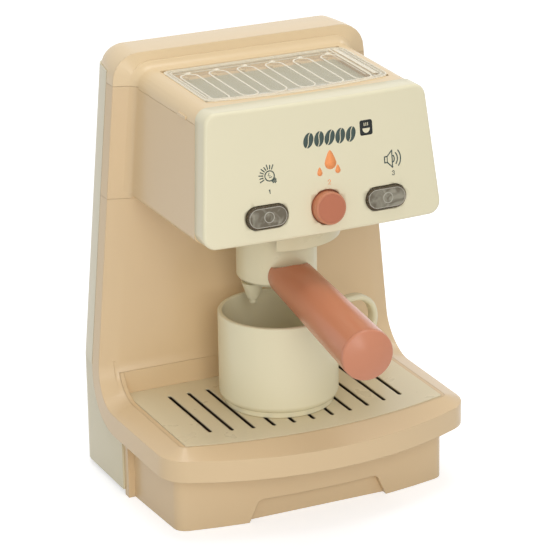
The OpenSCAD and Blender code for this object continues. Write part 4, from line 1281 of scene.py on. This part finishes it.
@dataclass
class CupAndTray:
    """Cup, drip tray and grille."""

    cup_at: Point = (-3.7, -19.8, 48.6)
    r: float = 31.0
    height: float = 49.6
    wall: float = 2.4
    handle_turn: float = 10.0
    handle_r: float = 13.0
    handle_reach: float = 48.3
    handle_z: float = 31.5
    handle_size: Flat = (6.4, 3.2)

    def _bowl(self) -> Skin:
        """Makes the cup's bowl.

        Returns:
            Its skin.
        """
        r, h, inner = self.r, self.height, self.r - self.wall
        profile = [(0.0, 0.6), (r - 4.7, 0.6), (r - 4.4, 0.2), (r - 4.1, 0.0), (r - 2.9, 0.0),
                   (r - 2.55, 0.3), (r - 2.5, 2.4)]
        profile += arc(r - 4, 6.6, 4, -68, 0, 14)
        profile += [(r, h - 1.0)] + arc(r - 0.9, h - 0.9, 0.9, 0, 90, 6)
        profile += arc(inner + 0.6, h - 0.6, 0.6, 90, 180, 5)
        profile += [(inner, 20.0), (inner, 7.0)] + arc(inner - 4, 7, 4, 0, -90, 10)[1:]
        profile += [(10.0, 3.0), (0.0, 3.0)]
        skin = Skin()
        skin.lathe(profile, 128)
        return skin

    def _handle(self) -> Skin:
        """Makes the cup's handle, with its roots flared into the bowl.

        Returns:
            Its skin.
        """
        wide, thick = self.handle_size
        reach, r, mid = self.handle_reach, self.handle_r, self.handle_z
        path = []
        for k in range(7):
            x = self.r - 1.3 + (reach - self.r + 1.3) * k / 6
            path.append(((x, mid + r), (0.0, 1.0), 1 + 0.35 * max(0.0, 1 - k / 2.2) ** 2))
        for a in range(80, -81, -8):
            c, d = math.cos(math.radians(a)), math.sin(math.radians(a))
            path.append(((reach + r * c, mid + r * d), (c, d), 1.0))
        for (x, z), _, swell in reversed(path[:7]):
            path.append(((x, 2 * mid - z), (0.0, -1.0), swell))
        rings = []
        for (x, z), (nx, nz), swell in path:
            rings.append([(x + v * swell * nx, u * swell, z + v * swell * nz)
                          for u, v in oblong(wide, thick, 8)])
        skin = Skin()
        skin.loft(rings)
        return skin.moved(Matrix.Rotation(math.radians(self.handle_turn), 4, "Z"))

    def build(self) -> None:
        """Makes the cup and dresses the tray and the grille."""
        cup = self._bowl()
        cup.join(self._handle())
        skin_piece("play_cup", cup.moved(Matrix.Translation(self.cup_at)), CUP, Body.CUP,
                   ("cup",), 40)
        dress_nodes(BEIGE, "drip_tray", round_mm=0.4)
        dress_nodes(STONE, "drip_grille", round_mm=0.3)


@dataclass
class BatteryBase:
    """Base plate, battery compartment, speaker and fasteners."""

    def build(self) -> None:
        """Dresses the base and what it holds."""
        dress_nodes(CREAM, "base_plate", "battery_box", "battery_door", round_mm=0.3)
        dress_nodes(JACKET, "battery_cells")
        dress_nodes(CONTACT, "battery_contacts")
        dress_nodes(SCREW, "battery_door_screw", "base_screws", "tower_screws")
        dress_nodes(DARK, "speaker_frame")
        dress_nodes(PAPER, "speaker_cone")
        dress_nodes(IRON, "speaker_magnet")


@dataclass
class Studio:
    """Pale floor, soft lamps and the camera.

    The floor, the lamps and their aim are in metres, and the camera's place is in millimetres.
    """

    azimuth: float = -25.10
    elevation: float = 19.96
    roll: float = -0.90
    distance: float = 1479.33
    focal_px: float = 2849.87
    image_px: float = 550.0
    sensor: float = 36.0
    target: Point = (4.33, 0.0, 108.33)
    floor_half: float = 6.0
    ambient: float = 0.52
    floor_grey: float = 0.62
    floor_glow: float = 0.6
    aim: Point = (0.0, 0.0, 0.1)
    lamps: tuple[tuple[str, Point, float, float], ...] = (
        ("key_lamp", (-0.35, -1.3, 0.75), 0.5, 3.1), ("front_lamp", (-0.2, -1.6, 0.3), 0.5, 2.2),
        ("side_lamp", (-1.4, -0.8, 0.5), 0.7, 0.5), ("near_lamp", (-0.25, -0.5, 0.18), 0.3, 0.28),
        ("top_lamp", (0.1, 0.2, 2.4), 1.5, 20.0), ("glint_lamp", (2.0, 0.6, 1.45), 0.5, 3.0))

    def build(self) -> None:
        """Sets the camera, the floor, the lamps and the surroundings."""
        self._camera()
        self._floor()
        self._world()
        for lamp in self.lamps:
            self._lamp(*lamp)

    def _camera(self) -> None:
        """Places the camera."""
        az, el, roll = (math.radians(a) for a in (self.azimuth, self.elevation, self.roll))
        back = Vector((math.sin(az) * math.cos(el), -math.cos(az) * math.cos(el), math.sin(el)))
        right = Vector((math.cos(az), math.sin(az), 0.0))
        up = back.cross(right)
        turned_right = math.cos(roll) * right + math.sin(roll) * up
        turned_up = -math.sin(roll) * right + math.cos(roll) * up
        data = bpy.data.cameras.new("camera")
        data.sensor_width = self.sensor
        data.lens = self.focal_px * self.sensor / self.image_px
        data.clip_end = 50.0
        camera = bpy.data.objects.new("camera", data)
        place = (Vector(self.target) + back * self.distance) * MM
        matrix = Matrix((turned_right, turned_up, back)).transposed().to_4x4()
        matrix.translation = place
        camera.matrix_world = matrix
        bpy.context.scene.collection.objects.link(camera)
        bpy.context.scene.camera = camera

    @staticmethod
    def _show(tree: bpy.types.NodeTree, plain: Socket, shown: Socket, end: Socket) -> None:
        """Sets what is seen apart from what lights the toy.

        Args:
            tree: The node tree that takes the mix.
            plain: The shader that lights the toy.
            shown: The shader that the camera sees, also in gloss and through clear plastic.
            end: The socket of the output.
        """
        rays = tree.nodes.new("ShaderNodeLightPath")
        share = rays.outputs["Is Camera Ray"]
        for kind in ("Is Glossy Ray", "Is Transmission Ray"):
            either = tree.nodes.new("ShaderNodeMath")
            either.operation = "MAXIMUM"
            tree.links.new(share, either.inputs[0])
            tree.links.new(rays.outputs[kind], either.inputs[1])
            share = either.outputs["Value"]
        mix = tree.nodes.new("ShaderNodeMixShader")
        for number, socket in enumerate((share, plain, shown)):
            tree.links.new(socket, mix.inputs[number])
        tree.links.new(mix.outputs["Shader"], end)

    def _floor(self) -> None:
        """Makes the floor, which shows white behind the toy and keeps its shadow."""
        half = self.floor_half
        mesh = bpy.data.meshes.new("floor")
        mesh.from_pydata([(-half, -half, 0), (half, -half, 0), (half, half, 0), (-half, half, 0)],
                         [], [(0, 1, 2, 3)])
        floor = bpy.data.objects.new("floor", mesh)
        bpy.context.scene.collection.objects.link(floor)
        mat = bpy.data.materials.new("floor_paper")
        mat.use_nodes = True
        tree = mat.node_tree
        paper = tree.nodes["Principled BSDF"]
        paper.inputs["Base Color"].default_value = (*(self.floor_grey,) * 3, 1.0)
        paper.inputs["Roughness"].default_value = 0.9
        glow = tree.nodes.new("ShaderNodeEmission")
        glow.inputs["Color"].default_value = WHITE
        glow.inputs["Strength"].default_value = self.floor_glow
        both = tree.nodes.new("ShaderNodeAddShader")
        tree.links.new(paper.outputs["BSDF"], both.inputs[0])
        tree.links.new(glow.outputs["Emission"], both.inputs[1])
        self._show(tree, paper.outputs["BSDF"], both.outputs["Shader"],
                   tree.nodes["Material Output"].inputs["Surface"])
        mesh.materials.append(mat)

    def _world(self) -> None:
        """Makes the surroundings: a plain light, and white where they are seen."""
        world = bpy.data.worlds.new("studio")
        bpy.context.scene.world = world
        world.use_nodes = True
        tree = world.node_tree
        soft, white = tree.nodes["Background"], tree.nodes.new("ShaderNodeBackground")
        soft.inputs["Color"].default_value = white.inputs["Color"].default_value = WHITE
        soft.inputs["Strength"].default_value = self.ambient
        self._show(tree, soft.outputs["Background"], white.outputs["Background"],
                   tree.nodes["World Output"].inputs["Surface"])

    def _lamp(self, name: str, place: Point, size: float, power: float) -> None:
        """Adds a soft lamp that points at the toy.

        Args:
            name: The lamp's name.
            place: Its place in metres.
            size: Its width in metres.
            power: Its power in watts.
        """
        data = bpy.data.lights.new(name, "AREA")
        data.shape = "DISK"
        data.size = size
        data.energy = power
        lamp = bpy.data.objects.new(name, data)
        lamp.location = place
        way = Vector(self.aim) - Vector(place)
        lamp.rotation_euler = way.to_track_quat("-Z", "Y").to_euler()
        bpy.context.scene.collection.objects.link(lamp)


def main() -> None:
    """Builds every sub-assembly and the studio."""
    logging.basicConfig(level=logging.INFO, format="%(name)s: %(message)s")
    panel = HeadPanel()
    for part in (Housings(), panel, Prints(panel), Controls(panel), Window(), FilterHolder(),
                 CupAndTray(), BatteryBase()):
        part.build()
        LOG.info("%s built", type(part).__name__)
    scene = bpy.context.scene
    scene.view_settings.view_transform = "Standard"
    Studio().build()


if __name__ == "__main__":
    main()
